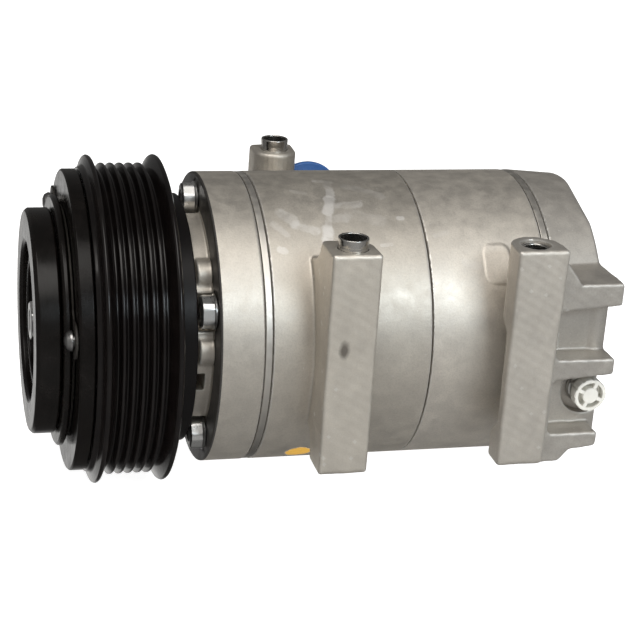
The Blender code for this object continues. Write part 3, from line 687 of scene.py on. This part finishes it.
def net(f, lo, hi, h):
    """Surface of a distance field on a grid of step h: one vertex per crossed
    cell, then drawn onto the surface itself."""
    lo = np.array(lo, float)
    n = [int(math.ceil((hi[i] - lo[i]) / h)) + 1 for i in range(3)]
    ax = [lo[i] + h * np.arange(n[i]) for i in range(3)]
    D = np.empty(n, np.float32)
    for i0 in range(0, n[0], 24):
        xs = ax[0][i0:i0 + 24]
        D[i0:i0 + len(xs)] = f((xs[:, None, None], ax[1][None, :, None], ax[2][None, None, :]))
    S = D < 0
    c = np.zeros([k - 1 for k in n], np.int8)
    for i in (0, 1):
        for j in (0, 1):
            for k in (0, 1):
                c += S[i:n[0] - 1 + i, j:n[1] - 1 + j, k:n[2] - 1 + k]
    act = (c > 0) & (c < 8)
    idx = np.full(act.shape, -1, np.int64)
    idx[act] = np.arange(int(act.sum()))
    ci = np.argwhere(act)
    acc = np.zeros((len(ci), 3))
    cnt = np.zeros(len(ci))
    corners = [(i, j, k) for i in (0, 1) for j in (0, 1) for k in (0, 1)]
    for a in corners:
        for ax_i in range(3):
            if a[ax_i]:
                continue
            b = list(a)
            b[ax_i] = 1
            da = D[ci[:, 0] + a[0], ci[:, 1] + a[1], ci[:, 2] + a[2]]
            db = D[ci[:, 0] + b[0], ci[:, 1] + b[1], ci[:, 2] + b[2]]
            m = (da < 0) != (db < 0)
            t = np.zeros(len(ci))
            t[m] = da[m] / (da[m] - db[m])
            p = np.tile(np.array(a, float), (len(ci), 1))
            p[:, ax_i] += t
            acc[m] += p[m]
            cnt[m] += 1
    P = lo + h * (ci + acc / cnt[:, None])
    P0 = P.copy()
    e = 0.02
    for _ in range(4):
        d = f((P[:, 0], P[:, 1], P[:, 2]))
        g = np.stack([f((P[:, 0] + e, P[:, 1], P[:, 2])) - d, f((P[:, 0], P[:, 1] + e, P[:, 2])) - d,
                      f((P[:, 0], P[:, 1], P[:, 2] + e)) - d], 1) / e
        g2 = np.maximum((g * g).sum(1), 0.25)
        step = (d / g2)[:, None] * g
        P = P - step
        off = P - P0
        ln = np.linalg.norm(off, axis=1, keepdims=True)
        P = P0 + off * np.minimum(1, 0.8 * h / np.maximum(ln, 1e-9))
    F = []
    for axi in range(3):
        u, v = (axi + 1) % 3, (axi + 2) % 3
        s0 = [slice(0, m) for m in n]
        s1 = [slice(0, m) for m in n]
        s0[axi] = slice(0, n[axi] - 1)
        s1[axi] = slice(1, n[axi])
        A, B = S[tuple(s0)], S[tuple(s1)]
        ch = np.argwhere(A != B)
        ok = (ch[:, u] > 0) & (ch[:, u] < n[u] - 1) & (ch[:, v] > 0) & (ch[:, v] < n[v] - 1)
        ch = ch[ok]
        inside_first = A[tuple(ch.T)]

        def cell(du, dv):
            q = ch.copy()
            q[:, u] -= du
            q[:, v] -= dv
            return idx[tuple(q.T)]
        q = np.stack([cell(1, 1), cell(0, 1), cell(0, 0), cell(1, 0)], 1)
        q[~inside_first] = q[~inside_first][:, ::-1]
        F.append(q)
    F = np.concatenate(F)
    return P, F


def casting(name, f, lo, hi, h, mat, body, replaces=(), slot=None, bores=(), smooth=38.0):
    P, F = net(f, lo, hi, h)
    Q = P.copy()
    Q[:, 0] -= REAR
    ob = mesh_object(name, Q * 0.001, F, mat, None)
    for p0, p1, r, seg in bores:
        c = rod(p0, p1, r, seg)
        carve(ob, c)
        drop(c)
    ob.data.shade_smooth()
    ob.data.set_sharp_from_angle(angle=math.radians(smooth))
    settle(ob, body, replaces, slot)
    return ob


STEP = 0.5

# ------------------------------------------------------------------ sizes shared with the CAD
BOLT_ANGLES = [22.5 + 72.0 * k for k in range(5)]
LUG_Y0, LUG_Z0, LUG_Z1 = -72.0, -36.6, 47.8
HOLE_Y = -63.7


# ------------------------------------------------------------------ front head
def front_head_field(P):
    x, y, z = P
    body = f_cyl(P, "x", 0.0, 16.4, (0, 0), 56.3, 0.0)
    body = f_and(np.sqrt(y * y + z * z) - 56.3, slab(x, 0.0, 16.4), 0.7)
    nose = f_cyl(P, "x", -12.3, 3.0, (0, 0), 43.5, 1.0)
    for ang in (42.5, 3.0, -68.0, 137.5, 177.0, 109.0):
        cy, cz = polar(ang, 40.6)
        boss = f_cyl(P, "x", -5.6, 3.0, (cy, cz), 5.8, 0.9)
        nose = f_union(nose, boss, 0.8)
    for ang in BOLT_ANGLES:
        cy, cz = polar(ang, 47.0)
        nose = f_cut(nose, f_cyl(P, "x", -20.0, 2.0, (cy, cz), 8.2), 0.6)
    cy, cz = polar(-13.3, 43.5)
    nose = f_cut(nose, f_box(P, (-10.5, cy - 4.0, cz - 3.5), (-2.9, cy + 13.0, cz + 3.5), 0.3), 0.3)
    d = f_union(body, nose, 0.8)
    for ang in BOLT_ANGLES:
        cy, cz = polar(ang, 47.0)
        d = f_cut(d, f_cyl(P, "x", -0.8, 0.35, (cy, cz), 7.6), 0.2)
    tube = f_cyl(P, "x", -40.5, -11.0, (0, 0), 17.4, 0.5)
    return f_union(d, tube, 1.2)


casting("front_head_casting", front_head_field, (-42, -57.5, -57.5), (18.5, 57.5, 57.5),
        STEP, M_FRONT, "housing", "front_head",
        bores=[((-44, 0, 0), (9.6, 0, 0), 9.4, 64), ((6.4, 0, 0), (20, 0, 0), 41.0, 96)])


# ------------------------------------------------------------------ front cylinder block
near_side = rounded([(-72.0, -36.6, 2.2), (-72.0, 48.2, 1.4), (-54.8, 48.2, 0.5),
                     (-52.8, 43.6, 1.5), (-48.4, 39.6, 1.5), (-40.0, 37.0, 0),
                     (-40.0, -22.0, 0), (-50.0, -24.0, 4.0), (-54.6, -27.2, 4.0),
                     (-56.0, -31.0, 2.0), (-56.5, -36.6, 2.0)], 1.0, 4)
far_plan = [(35.0, 72.0, 1.6), (35.0, 63.7, 0)] + [
    (44.1 + 9.1 * math.cos(math.pi * (1 + k / 14)), 63.7 + 9.1 * math.sin(math.pi * (1 + k / 14)), 0)
    for k in range(1, 14)] + [(53.2, 63.7, 0), (53.2, 72.0, 1.6)]
far_plan = rounded(far_plan, 0, 4)


def front_block_field(P):
    x, y, z = P
    rad = np.sqrt(y * y + z * z)
    barrel = f_and(rad - 56.3, slab(x, 19.4, 79.75), 0.35)
    skin = ripple(P, 11.0, 0.07)
    lug = f_prism(P, "yz", near_side, 35.0, 53.2, 1.2) + skin
    plan = np.minimum(np.sqrt(sq(x - 44.1) + sq(y - HOLE_Y)) - 9.1,
                      np.minimum(np.maximum(y - HOLE_Y, -y - 80.0), x - 43.0))
    lug = f_and(lug, plan, 0.7)
    far = f_prism(P, "xy", far_plan, -36.6, 49.8, 1.6) + skin
    web = f_box(P, (36.6, 38.0, -26.0), (51.6, 62.0, 37.5), 2.2)
    port = f_box(P, (50.0, 38.0, -30.0), (73.0, 71.8, 31.0), 2.4) + skin
    boss = f_cyl(P, "y", 40.0, 71.8, (61.7, 26.8), 9.6, 1.0)
    d = f_union(barrel, lug, 0.9)
    side = f_union(f_union(far, web, 2.5), f_union(port, boss, 1.5), 2.0)
    d = f_union(d, side, 2.4)
    # the seam faces stay flat and sharp
    d = f_and(d, slab(x, 19.4, 79.75), 0.35)
    for s in (1, -1):
        d = f_cut(d, f_cyl(P, "z", -60.0, 60.0, (44.1, s * HOLE_Y), 5.66), 0.35)
    return d


front_block = casting(
    "front_block_casting", front_block_field, (18.0, -73.5, -58.0), (81.0, 73.3, 58.0),
    STEP, M_BLOCK, "housing", "front_cylinder_block",
    bores=[((10, 0, 0), (90, 0, 0), 52.4, 128), ((61.7, 56.0, 26.8), (61.7, 76, 26.8), 7.6, 48),
           ((61.7, 60, -2), (61.7, 76, -2), 6.1, 40), ((61.7, 58, -21), (61.7, 76, -21), 3.4, 32)])


# ------------------------------------------------------------------ rear cylinder block
def rear_block_field(P):
    x, y, z = P
    rad = np.sqrt(y * y + z * z)
    barrel = f_and(rad - 56.3, slab(x, 80.05, 125.9), 0.35)
    # a low cast pad beside the rear lug
    pad = f_box(P, (101.5, -52.0, 28.0), (112.0, -36.0, 40.5), 3.0)
    pad = f_and(pad, rad - 56.30 - 0.055 * (x - 101.5), 0.5)
    d = f_union(barrel, pad, 0.5)
    return f_and(d, slab(x, 80.05, 125.9), 0.35)


casting("rear_block_casting", rear_block_field, (78.5, -58.5, -58.5), (127.3, 58.5, 58.5),
        STEP, M_BLOCK_R, "housing", "rear_cylinder_block",
        bores=[((70, 0, 0), (135, 0, 0), 52.4, 128)])

# ------------------------------------------------------------------ rear head
comb = rounded([(118.0, 44.5, 0), (124.5, 43.0, 1.2), (126.4, 41.0, 1.2), (132.1, 33.3, 1.0),
                (149.2, 33.3, 1.0), (149.2, 24.6, 1.0), (126.4, 22.8, 1.2), (125.0, 21.4, 1.0),
                (125.0, 5.0, 1.2), (126.4, 3.6, 1.2), (149.0, 3.4, 1.0), (149.0, -3.0, 1.2),
                (126.4, -4.8, 1.2), (125.0, -6.2, 1.2), (125.0, -25.2, 1.2), (126.4, -26.5, 1.2),
                (145.4, -26.5, 1.0), (145.4, -32.2, 1.4), (134.5, -33.6, 1.4), (130.6, -38.0, 1.4),
                (118.0, -38.6, 0)], 0.5, 4)
lug_core = rounded([(-69.0, -36.6, 2.2), (-69.0, 40.0, 1.8), (-59.0, 40.0, 2.0),
                    (-56.0, 37.0, 3.0), (-46.0, 36.0, 0), (-46.0, -30.0, 0), (-54.5, -32.6, 2.0),
                    (-56.5, -36.6, 2.0)], 1.0, 4)
lug_skin = rounded([(-72.0, -36.6, 2.2), (-72.0, 48.4, 1.4), (-54.2, 48.4, 1.0), (-54.2, 24.5, 3),
                    (-60.5, 18.5, 2.5), (-66.6, 15.0, 4.0), (-66.6, -20.5, 4.0),
                    (-61.0, -25.5, 4.0), (-56.2, -29.5, 2.0), (-56.5, -36.6, 3.0)], 1.0, 4)


def rear_head_field(P):
    x, y, z = P
    rad = np.sqrt(y * y + z * z)
    shell = f_poly(x, rad, [(129.0, -20.0), (129.0, 56.3), (148.0, 54.8), (149.2, 53.4), (149.2, -20.0)])
    shell = shell + 0.0
    skin = ripple(P, 10.0, 0.09)
    bracket = f_prism(P, "xz", comb, -66.8, -40.0, 1.05) + skin
    # above the shelf only a thin gusset beside the lug
    bracket = f_cut(bracket, f_box(P, (110.0, -58.6, 33.3), (160.0, -30.0, 60.0), 0.2), 0.5)
    wall = f_box(P, (122.0, -56.4, -33.0), (148.4, -38.0, 26.0), 1.2)
    core = f_prism(P, "yz", lug_core, 112.4, 122.2, 1.2)
    lean = 1.5 * np.clip((z + 6.0) / 54.0, 0.0, 1.0)
    skn = f_and(f_poly(y, z, lug_skin), np.maximum(104.0 - x, x - 122.2 - lean), 1.3)
    plan = np.minimum(np.sqrt(sq(x - 113.4) + sq(y - HOLE_Y)) - 9.4, y - HOLE_Y)
    skn = f_and(skn, plan, 0.8)
    lug = f_union(core, skn, 1.0) + skin
    lug = np.maximum(lug, slab(x, 104.0, 140.0))
    column = f_cyl(P, "z", -2.0, 28.0, (144.7, -53.4), 3.9)
    d = f_union(bracket, wall, 1.2)
    d = f_union(d, column, 1.2)
    d = f_union(d, shell, 0.9)
    d = f_union(d, lug, 0.8)
    # clearance over the cylinder block in front of the joint face
    d = f_cut(d, np.maximum(rad - 57.0, x - 128.85), 0.4)
    d = np.maximum(d, -(x - 129.0 + np.minimum(0.0, 0.0 * rad)) * np.where(rad < 56.9, 1.0, 0.0)
                   - np.where(rad < 56.9, 0.0, 1e3))
    # seat round the relief valve
    seat = f_cyl(P, "y", -75.0, -52.8, (142.7, -13.1), 9.6)
    lim = slab(z, -26.4, -3.0)
    d = f_cut(d, np.maximum(seat, lim), 0.5)
    d = f_cut(d, f_cyl(P, "z", -60.0, 60.0, (113.1, HOLE_Y), 5.66), 0.35)
    # the cut corner at the top of the rear edge
    nx, ny, nz = 0.70, -0.23, 0.676
    d = f_and(d, (nx * (x - 146.6) + ny * (y + 14.8) + nz * (z - 52.4)), 0.3)
    return f_and(d, x - 149.2, 0.5)


rear_head = casting(
    "rear_head_casting", rear_head_field, (102.5, -73.5, -58.0), (150.5, 58.0, 58.0),
    STEP, M_REAR, "housing", "rear_head",
    bores=[((142.7, -50.0, -13.1), (142.7, -56.0, -13.1), 4.3, 32)])

print("castings", sum(len(o.data.polygons) for o in (front_block, rear_head)))

# ------------------------------------------------------------------ valve plates and gaskets
front_plate = turned("front_plate_ring", [(19.1, 56.15), (16.7, 56.15), (16.7, 40.0), (19.1, 40.0)],
                     M_PLATE, "housing", "front_valve_plate", default=0.2, seg=256)
turned("rear_plate_ring", [(128.7, 56.15), (126.2, 56.15), (126.2, 40.0), (128.7, 40.0)],
       M_PLATE, "housing", "rear_valve_plate", default=0.2, seg=256)
for nm, a in (("front_gasket_a", 16.43), ("front_gasket_b", 19.13), ("rear_gasket_a", 125.93),
              ("rear_gasket_b", 128.73)):
    turned(nm, [(a + 0.24, 55.9), (a, 55.9), (a, 41.0), (a + 0.24, 41.0)], M_GASKET,
           "housing", (), "rubber", default=0.05, seg=192)


# ------------------------------------------------------------------ sleeves
def sleeve(name, node, x, y, z0, z1, r_in, collar=True):
    out = [(z1, 5.6, 0.5), (z1 - 1.6, 5.6, 0.6), (z1 - 3.0, 5.45, 0.8), (z1 - 5.2, 5.6, 0.4),
           (z0, 5.6, 0.4), (z0, r_in, 0.5), (z1, r_in, 0.7)]
    if not collar:
        out = [(z1, 5.6, 0.3), (z0, 5.6, 0.3), (z0, r_in, 0.4), (z1, r_in, 0.6)]
    turned(name, out, M_SLEEVE, "housing", node, seg=96, axis="Z", centre=(x, y, 0), default=0.3)


sleeve("front_near_bush", "front_sleeve_near", 44.1, -63.7, -36.6, 52.4, 4.75)
sleeve("front_far_bush", "front_sleeve_far", 44.1, 63.7, -36.6, 54.4, 4.75)
sleeve("rear_near_bush", "rear_sleeve_near", 113.1, -63.7, -36.6, 47.4, 4.1, False)


# ------------------------------------------------------------------ bolts
def hex_bolt(name, node, ang, turn):
    """Flanged hexagon head with a chamfered crown, and its shank."""
    cy, cz = polar(ang, 47.0)
    af = 11.6 / 2
    seg = 96
    rows = []
    th = np.arange(seg) * 2 * math.pi / seg

    def hexr(t):
        k = (t - turn + math.pi / 6) % (math.pi / 3) - math.pi / 6
        return af / np.cos(k)
    R6 = hexr(th)
    crown = np.minimum(R6, 6.15)
    rows.append((138.0, np.full(seg, 0.001)))
    rows.append((138.0, np.full(seg, 3.2)))
    rows.append((137.7, np.full(seg, 3.5)))
    rows.append((0.0, np.full(seg, 3.5)))
    rows.append((-0.3, np.full(seg, 3.9)))
    rows.append((-0.3, np.full(seg, 6.2)))
    rows.append((-0.45, np.full(seg, 6.45)))
    rows.append((-0.95, np.full(seg, 6.5)))
    rows.append((-1.2, np.maximum(crown + 0.12, 6.1)))
    rows.append((-1.35, crown))
    rows.append((-5.0, crown))
    rows.append((-5.45, np.minimum(crown, 6.0)))
    rows.append((-5.8, np.minimum(crown, 5.5)))
    rows.append((-5.9, np.full(seg, 5.1)))
    rows.append((-5.9, np.full(seg, 3.4)))
    rows.append((-5.6, np.full(seg, 3.1)))
    rows.append((-5.6, np.full(seg, 0.001)))
    V, F = [], []
    for s, r in rows:
        r = np.minimum(r, 6.69)
        V.append(np.stack([np.full(seg, s - REAR), cy - r * np.cos(th), cz + r * np.sin(th)], 1))
    V = np.concatenate(V)
    for i in range(len(rows) - 1):
        for k in range(seg):
            l = (k + 1) % seg
            F.append((i * seg + k, i * seg + l, (i + 1) * seg + l, (i + 1) * seg + k))
    F.append(list(range(seg)))
    F.append(list(range((len(rows) - 1) * seg, len(rows) * seg))[::-1])
    ob = mesh_object(name, V * 0.001, F, M_ZINC, None)
    tidy(ob, 28.0)
    settle(ob, "housing", node)


for k, ang in enumerate(BOLT_ANGLES):
    hex_bolt(f"head_bolt_{k + 1}", f"through_bolt_{k + 1}", ang, math.radians([8, -14, 21, 3, -24][k]))


# ------------------------------------------------------------------ pulley
def pulley_outline():
    out = [(-13.8, 61.2, 0.3), (-14.4, 62.6, 0.5), (-15.2, 63.0, 0.6), (-16.0, 62.5, 0.5), (-17.15, 59.9, 0.35)]
    half = 3.56 / 2
    for k in reversed(range(6)):
        c = -36.87 + 3.56 * k
        if k < 5:
            out.append((c + half - 0.42, 59.75, 0.25))
        out.append((c + 0.28, 57.0, 0.25))
        out.append((c - 0.28, 57.0, 0.25))
        if k > 0:
            out.append((c - half + 0.42, 59.75, 0.25))
    out += [(-38.75, 59.9, 0.35), (-39.9, 62.5, 0.5), (-40.7, 63.0, 0.6), (-41.5, 62.5, 0.5),
            (-42.7, 58.8, 1.2), (-44.4, 58.1, 0.5), (-44.4, 49.5, 0.3), (-43.9, 49.0, 0.2),
            (-43.9, 46.8, 0.2), (-44.4, 46.3, 0.3), (-44.4, 31.0, 0.5), (-42.0, 27.8, 0.5),
            (-16.0, 27.8, 0.5), (-16.0, 31.9, 0.5), (-39.8, 31.9, 0.8), (-39.8, 52.6, 0.8), (-13.8, 53.4, 0.5)]
    return out


turned("pulley_turned", pulley_outline(), M_BLACK, "pulley", "pulley_rotor", seg=320, default=0.3,
       steps=3, smooth=40.0)
turned("outer_race_ring", [(-17.0, 27.5), (-37.0, 27.5), (-37.0, 23.6), (-17.0, 23.6)], M_STEEL,
       "pulley", "bearing_outer_race", seg=96, default=0.5)

# ------------------------------------------------------------------ coil
turned("coil_housing", [(-12.6, 51.4, 0.6), (-38.8, 51.4, 0.6), (-38.8, 33.0, 0.6), (-15.6, 33.0, 1.0),
                        (-15.6, 18.0, 0.5), (-12.6, 18.0, 0.5), (-12.6, 44.1, 0.3),
                        (-6.6, 44.1, 0.3), (-6.6, 48.0, 0.5), (-12.6, 48.0, 0.3)],
       M_COIL, "housing", "clutch_coil",
       seg=160)

# ------------------------------------------------------------------ armature plate
armature = turned("armature_turned", [
    (-44.9, 57.0, 0.3), (-45.3, 57.6, 0.3), (-49.9, 57.6, 0.6), (-50.5, 56.9, 0.5), (-50.5, 34.0, 0.5),
    (-44.9, 34.0, 0.5)], M_ARM, "armature", "armature_plate", seg=256)

# ------------------------------------------------------------------ hub group
LOBES = [12.0 + 120.0 * k for k in range(3)]
turned("hub_turned", [
    (-41.2, 13.5, 0.4), (-52.0, 13.5, 1.0), (-52.0, 46.6, 0.4), (-52.7, 47.8, 0.5), (-54.1, 47.8, 0.5),
    (-54.8, 46.9, 0.5), (-54.8, 26.0, 1.0), (-62.0, 26.0, 0.6), (-62.0, 23.0, 0.6), (-54.8, 23.0, 1.2),
    (-54.8, 13.5, 1.2), (-57.2, 13.5, 0.6), (-57.2, 7.1, 0.4), (-41.2, 7.1, 0.4)],
    M_SATIN, "drive", "clutch_hub", seg=224)
turned("damper_turned", [
    (-55.1, 42.3, 0.4), (-55.8, 43.0, 0.5), (-63.0, 43.0, 0.9), (-64.3, 41.8, 0.9), (-64.3, 31.6, 0.9),
    (-63.3, 30.3, 0.7), (-55.1, 30.3, 0.4)], M_SATIN, "drive", "damper_ring", seg=256)
turned("rubber_turned", [(-55.1, 30.0, 0.3), (-60.8, 30.0, 0.6), (-60.2, 28.1, 1.0), (-60.8, 26.3, 0.6),
                         (-55.1, 26.3, 0.3)], M_RUBBER, "drive", "damper_rubber", seg=160)
turned("shaft_end", [(121.0, 0.0), (121.0, 8.0, 0.8), (-38.0, 8.0, 0.5), (-38.0, 6.8, 0.4),
                     (-57.0, 6.8, 0.6), (-57.0, 0.0)], M_STEEL, "drive", "drive_shaft", seg=96)


def spring_field(P):
    x, y, z = P
    rad = np.sqrt(y * y + z * z)
    d = np.maximum(rad - 44.4, 20.0 - rad)
    for a in LOBES:
        cy, cz = polar(a, 49.6)
        iy, iz = polar(a, 42.0)
        ear = np.sqrt(sq(y - cy) + sq(z - cz)) - 6.5
        arm = np.sqrt(sq(y - iy) + sq(z - iz)) - 8.0
        d = f_union(d, f_union(ear, arm, 2.0), 2.5)
        w0, w1 = polar(a + 60.0, 38.0)
        d = f_cut(d, np.sqrt(sq(y - w0) + sq(z - w1)) - 4.0, 0.3)
    return f_and(d, slab(x, -51.7, -50.8), 0.2)


casting("spring_plate", spring_field, (-53.0, -58.0, -58.0), (-49.6, 58.0, 58.0),
        0.4, M_SPRING, "drive", "leaf_spring")


def rivet(name, node, ang):
    cy, cz = polar(ang, 49.6)
    turned(name, [(-45.6, 0.0), (-45.6, 2.2, 0.2), (-52.3, 2.2, 0.0), (-52.3, 3.9, 0.25), (-53.2, 3.8, 0.6),
                  (-54.5, 3.1, 0.9), (-55.2, 1.6, 0.9), (-55.3, 0.0)], M_RIVET, "armature", node, seg=64,
           centre=(0, cy, cz), default=0.3)


for k, a in enumerate(LOBES):
    rivet(f"rivet_turned_{k + 1}", f"rivet_{k + 1}", a)


def nut_mesh():
    seg = 96
    th = np.arange(seg) * 2 * math.pi / seg
    af = 8.0 * math.cos(math.pi / 6)
    R6 = af / np.cos((th + math.pi / 6) % (math.pi / 3) - math.pi / 6)
    rows = [(-57.5, np.full(seg, 0.001)), (-57.5, np.full(seg, 6.8)), (-57.7, np.minimum(R6, 7.5)),
            (-58.1, np.minimum(R6, 7.95)), (-62.2, np.minimum(R6, 7.95)), (-62.7, np.minimum(R6, 7.4)),
            (-63.0, np.full(seg, 6.7)), (-63.0, np.full(seg, 4.4)), (-62.4, np.full(seg, 3.9)),
            (-62.0, np.full(seg, 3.4)), (-62.0, np.full(seg, 0.001))]
    V, F = [], []
    for s, r in rows:
        V.append(np.stack([np.full(seg, s - REAR), -r * np.cos(th), r * np.sin(th)], 1))
    V = np.concatenate(V)
    for i in range(len(rows) - 1):
        for k in range(seg):
            l = (k + 1) % seg
            F.append((i * seg + k, i * seg + l, (i + 1) * seg + l, (i + 1) * seg + k))
    F.append(list(range(seg)))
    F.append(list(range((len(rows) - 1) * seg, len(rows) * seg))[::-1])
    ob = mesh_object("hub_nut_hex", V * 0.001, F, M_ZINC, None)
    tidy(ob, 28.0)
    settle(ob, "drive", "hub_nut")


nut_mesh()


# ------------------------------------------------------------------ relief valve
def valve_body_field(P):
    x, y, z = P
    a, b = x - 142.7, z + 13.1
    rr = np.sqrt(a * a + b * b)
    th = np.arctan2(b, a)
    hexd = rr * np.cos((th + math.pi / 6) % (math.pi / 3) - math.pi / 6) - 5.4
    head = f_and(f_and(hexd, rr - 6.2, 0.3), slab(y, -57.0, -54.0), 0.4)
    neck = f_and(rr - 3.9, slab(y, -57.6, -45.8), 0.3)
    washer = f_and(f_and(rr - 6.4, slab(y, -55.4, -53.3), 0.3), rr * 0.7 - y * 0.7 - 42.9, 0.5)
    return np.minimum(np.minimum(head, neck), washer)


casting("valve_body_hex", valve_body_field, (136.0, -58.6, -20.5), (150.4, -44.8, -6.1), 0.25,
        M_ZINC, "housing", "relief_valve_body")


def valve_cap_field(P):
    x, y, z = P
    a, b = x - 142.7, z + 13.1
    rr = np.sqrt(a * a + b * b)
    th = np.arctan2(b, a)
    d = f_and(rr - 6.45, slab(y, -62.6, -57.9), 0.5)
    well = np.maximum(np.maximum(rr - 5.0, 3.2 - rr), y + 59.6)
    spokes = None
    for k in range(4):
        q = math.radians(45 + 20 + 90 * k)
        u = a * math.cos(q) + b * math.sin(q)
        v = -a * math.sin(q) + b * math.cos(q)
        bar = np.maximum(np.abs(v) - 0.75, -u)
        spokes = bar if spokes is None else np.minimum(spokes, bar)
    well = np.maximum(well, -spokes)
    d = f_cut(d, well, 0.15)
    centre = f_and(rr - 3.1, slab(y, -62.9, -59.0), 0.35)
    d = np.minimum(d, centre)
    for k in range(10):
        q = 2 * math.pi * (k + 0.3) / 10
        cx, cz = 6.8 * math.cos(q), 6.8 * math.sin(q)
        d = f_cut(d, np.sqrt(sq(a - cx) + sq(b - cz)) - 0.62, 0.12)
    return d


casting("valve_cap_moulding", valve_cap_field, (136.0, -63.9, -20.5), (150.4, -56.9, -6.1),
        0.22, M_WHITE, "housing", "relief_valve_cap")


# ------------------------------------------------------------------ port caps
def port_cap(name, node, zc, r, rp):
    y0 = 71.8 + 0.3
    turned(name, [(y0 - 8.0, 0.0), (y0 - 8.0, rp - 0.6, 0.5), (y0 - 7.0, rp, 0.4), (y0, rp, 0.3),
                  (y0, r - 0.3, 0.3), (y0 + 0.5, r, 0.4), (y0 + 2.3, r, 0.5), (y0 + 3.1, r - 1.2, 0.9),
                  (y0 + 3.1, r * 0.45, 0.6), (y0 + 2.2, r * 0.35, 0.6), (y0 + 2.2, 0.0)], M_BLUE,
           "housing", node, seg=96, axis="Y", centre=(61.7, 0, zc), default=0.3)


port_cap("suction_cap_moulding", "suction_port_cap", 26.8, 14.6, 7.0)
port_cap("discharge_cap_moulding", "discharge_port_cap", -2.0, 9.0, 5.6)

# ------------------------------------------------------------------ stage and light
floor_me = bpy.data.meshes.new("floor")
bm = bmesh.new()
bmesh.ops.create_circle(bm, cap_ends=True, segments=96, radius=6.0)
bm.to_mesh(floor_me)
bm.free()
floor = bpy.data.objects.new("floor", floor_me)
floor.location = (X(50), 0, -0.0642)
scene.collection.objects.link(floor)
fm = Shader("floor_paper", (0.93, 0.93, 0.925), 0.0, 0.9, Specular_IOR_Level=0.1)
fm.set("Base Color", fm.ramp(fm.noise(3.0, 2.0), [(0.3, (0.925, 0.925, 0.92)), (0.7, (0.94, 0.94, 0.935))]))
fm.b.inputs["Emission Color"].default_value = (1, 1, 1, 1)
fm.b.inputs["Emission Strength"].default_value = 0.95
floor_me.materials.append(fm.mat)
floor.visible_glossy = False

world = bpy.data.worlds.new("studio")
scene.world = world
world.use_nodes = True
wt = world.node_tree
bg = wt.nodes["Background"]
bg.inputs["Color"].default_value = (0.95, 0.94, 0.92, 1)
sky_dir = wt.nodes.new("ShaderNodeTexCoord")
sky_xyz = wt.nodes.new("ShaderNodeSeparateXYZ")
wt.links.new(sky_dir.outputs["Generated"], sky_xyz.inputs[0])
sky_map = wt.nodes.new("ShaderNodeMapRange")
sky_map.interpolation_type = "SMOOTHSTEP"
for k, v in (("From Min", 0.7), ("From Max", -0.9), ("To Min", 0.13), ("To Max", 0.34)):
    sky_map.inputs[k].default_value = v
wt.links.new(sky_xyz.outputs["Y"], sky_map.inputs["Value"])


def sky_zone(y0, y1, z0, z1, amount):
    """A soft patch of the room: rises from y0 to y1 and from z0 to z1."""
    out = []
    for socket, a, b in (("Y", y0, y1), ("Z", z0, z1)):
        n = wt.nodes.new("ShaderNodeMapRange")
        n.interpolation_type = "SMOOTHSTEP"
        n.inputs["From Min"].default_value = a
        n.inputs["From Max"].default_value = b
        wt.links.new(sky_xyz.outputs[socket], n.inputs["Value"])
        out.append(n.outputs["Result"])
    p = wt.nodes.new("ShaderNodeMath")
    p.operation = "MULTIPLY"
    wt.links.new(out[0], p.inputs[0])
    wt.links.new(out[1], p.inputs[1])
    q = wt.nodes.new("ShaderNodeMath")
    q.operation = "MULTIPLY"
    wt.links.new(p.outputs[0], q.inputs[0])
    q.inputs[1].default_value = amount
    return q.outputs[0]


level = sky_map.outputs["Result"]
for zone in (sky_zone(-0.5, -0.95, 0.05, -0.30, 0.14), sky_zone(0.62, 0.88, -0.12, -0.30, 0.75),
             sky_zone(-0.75, -0.25, -0.45, -0.85, -0.07)):
    n = wt.nodes.new("ShaderNodeMath")
    n.operation = "ADD"
    wt.links.new(level, n.inputs[0])
    wt.links.new(zone, n.inputs[1])
    level = n.outputs[0]
wt.links.new(level, bg.inputs["Strength"])
target = Vector((X(60), 0, 0))


def softbox(name, azimuth, elevation, distance, size, power, color, size_y=None):
    """An area light aimed at the object. Azimuth 0 is the -Y side."""
    a, e = math.radians(azimuth), math.radians(elevation)
    d = Vector((math.sin(a) * math.cos(e), -math.cos(a) * math.cos(e), math.sin(e)))
    li = bpy.data.lights.new(name, "AREA")
    li.shape = "RECTANGLE"
    li.size = size
    li.size_y = size_y or size
    li.energy = power
    li.color = color
    ob = bpy.data.objects.new(name, li)
    ob.location = target + d * distance
    ob.rotation_euler = d.to_track_quat("Z", "Y").to_euler()
    scene.collection.objects.link(ob)
    return ob


softbox("key", 21, 29, 1.5, 0.60, 6.6, (0.90, 1.0, 1.07), 0.34)
softbox("top", -30, 62, 1.5, 1.2, 12.5, (1.0, 0.965, 0.92), 0.9)
softbox("left", -80, 25, 1.6, 0.9, 0.5, (1.0, 0.97, 0.93))

scene.view_settings.view_transform = "Standard"
scene.view_settings.look = "None"
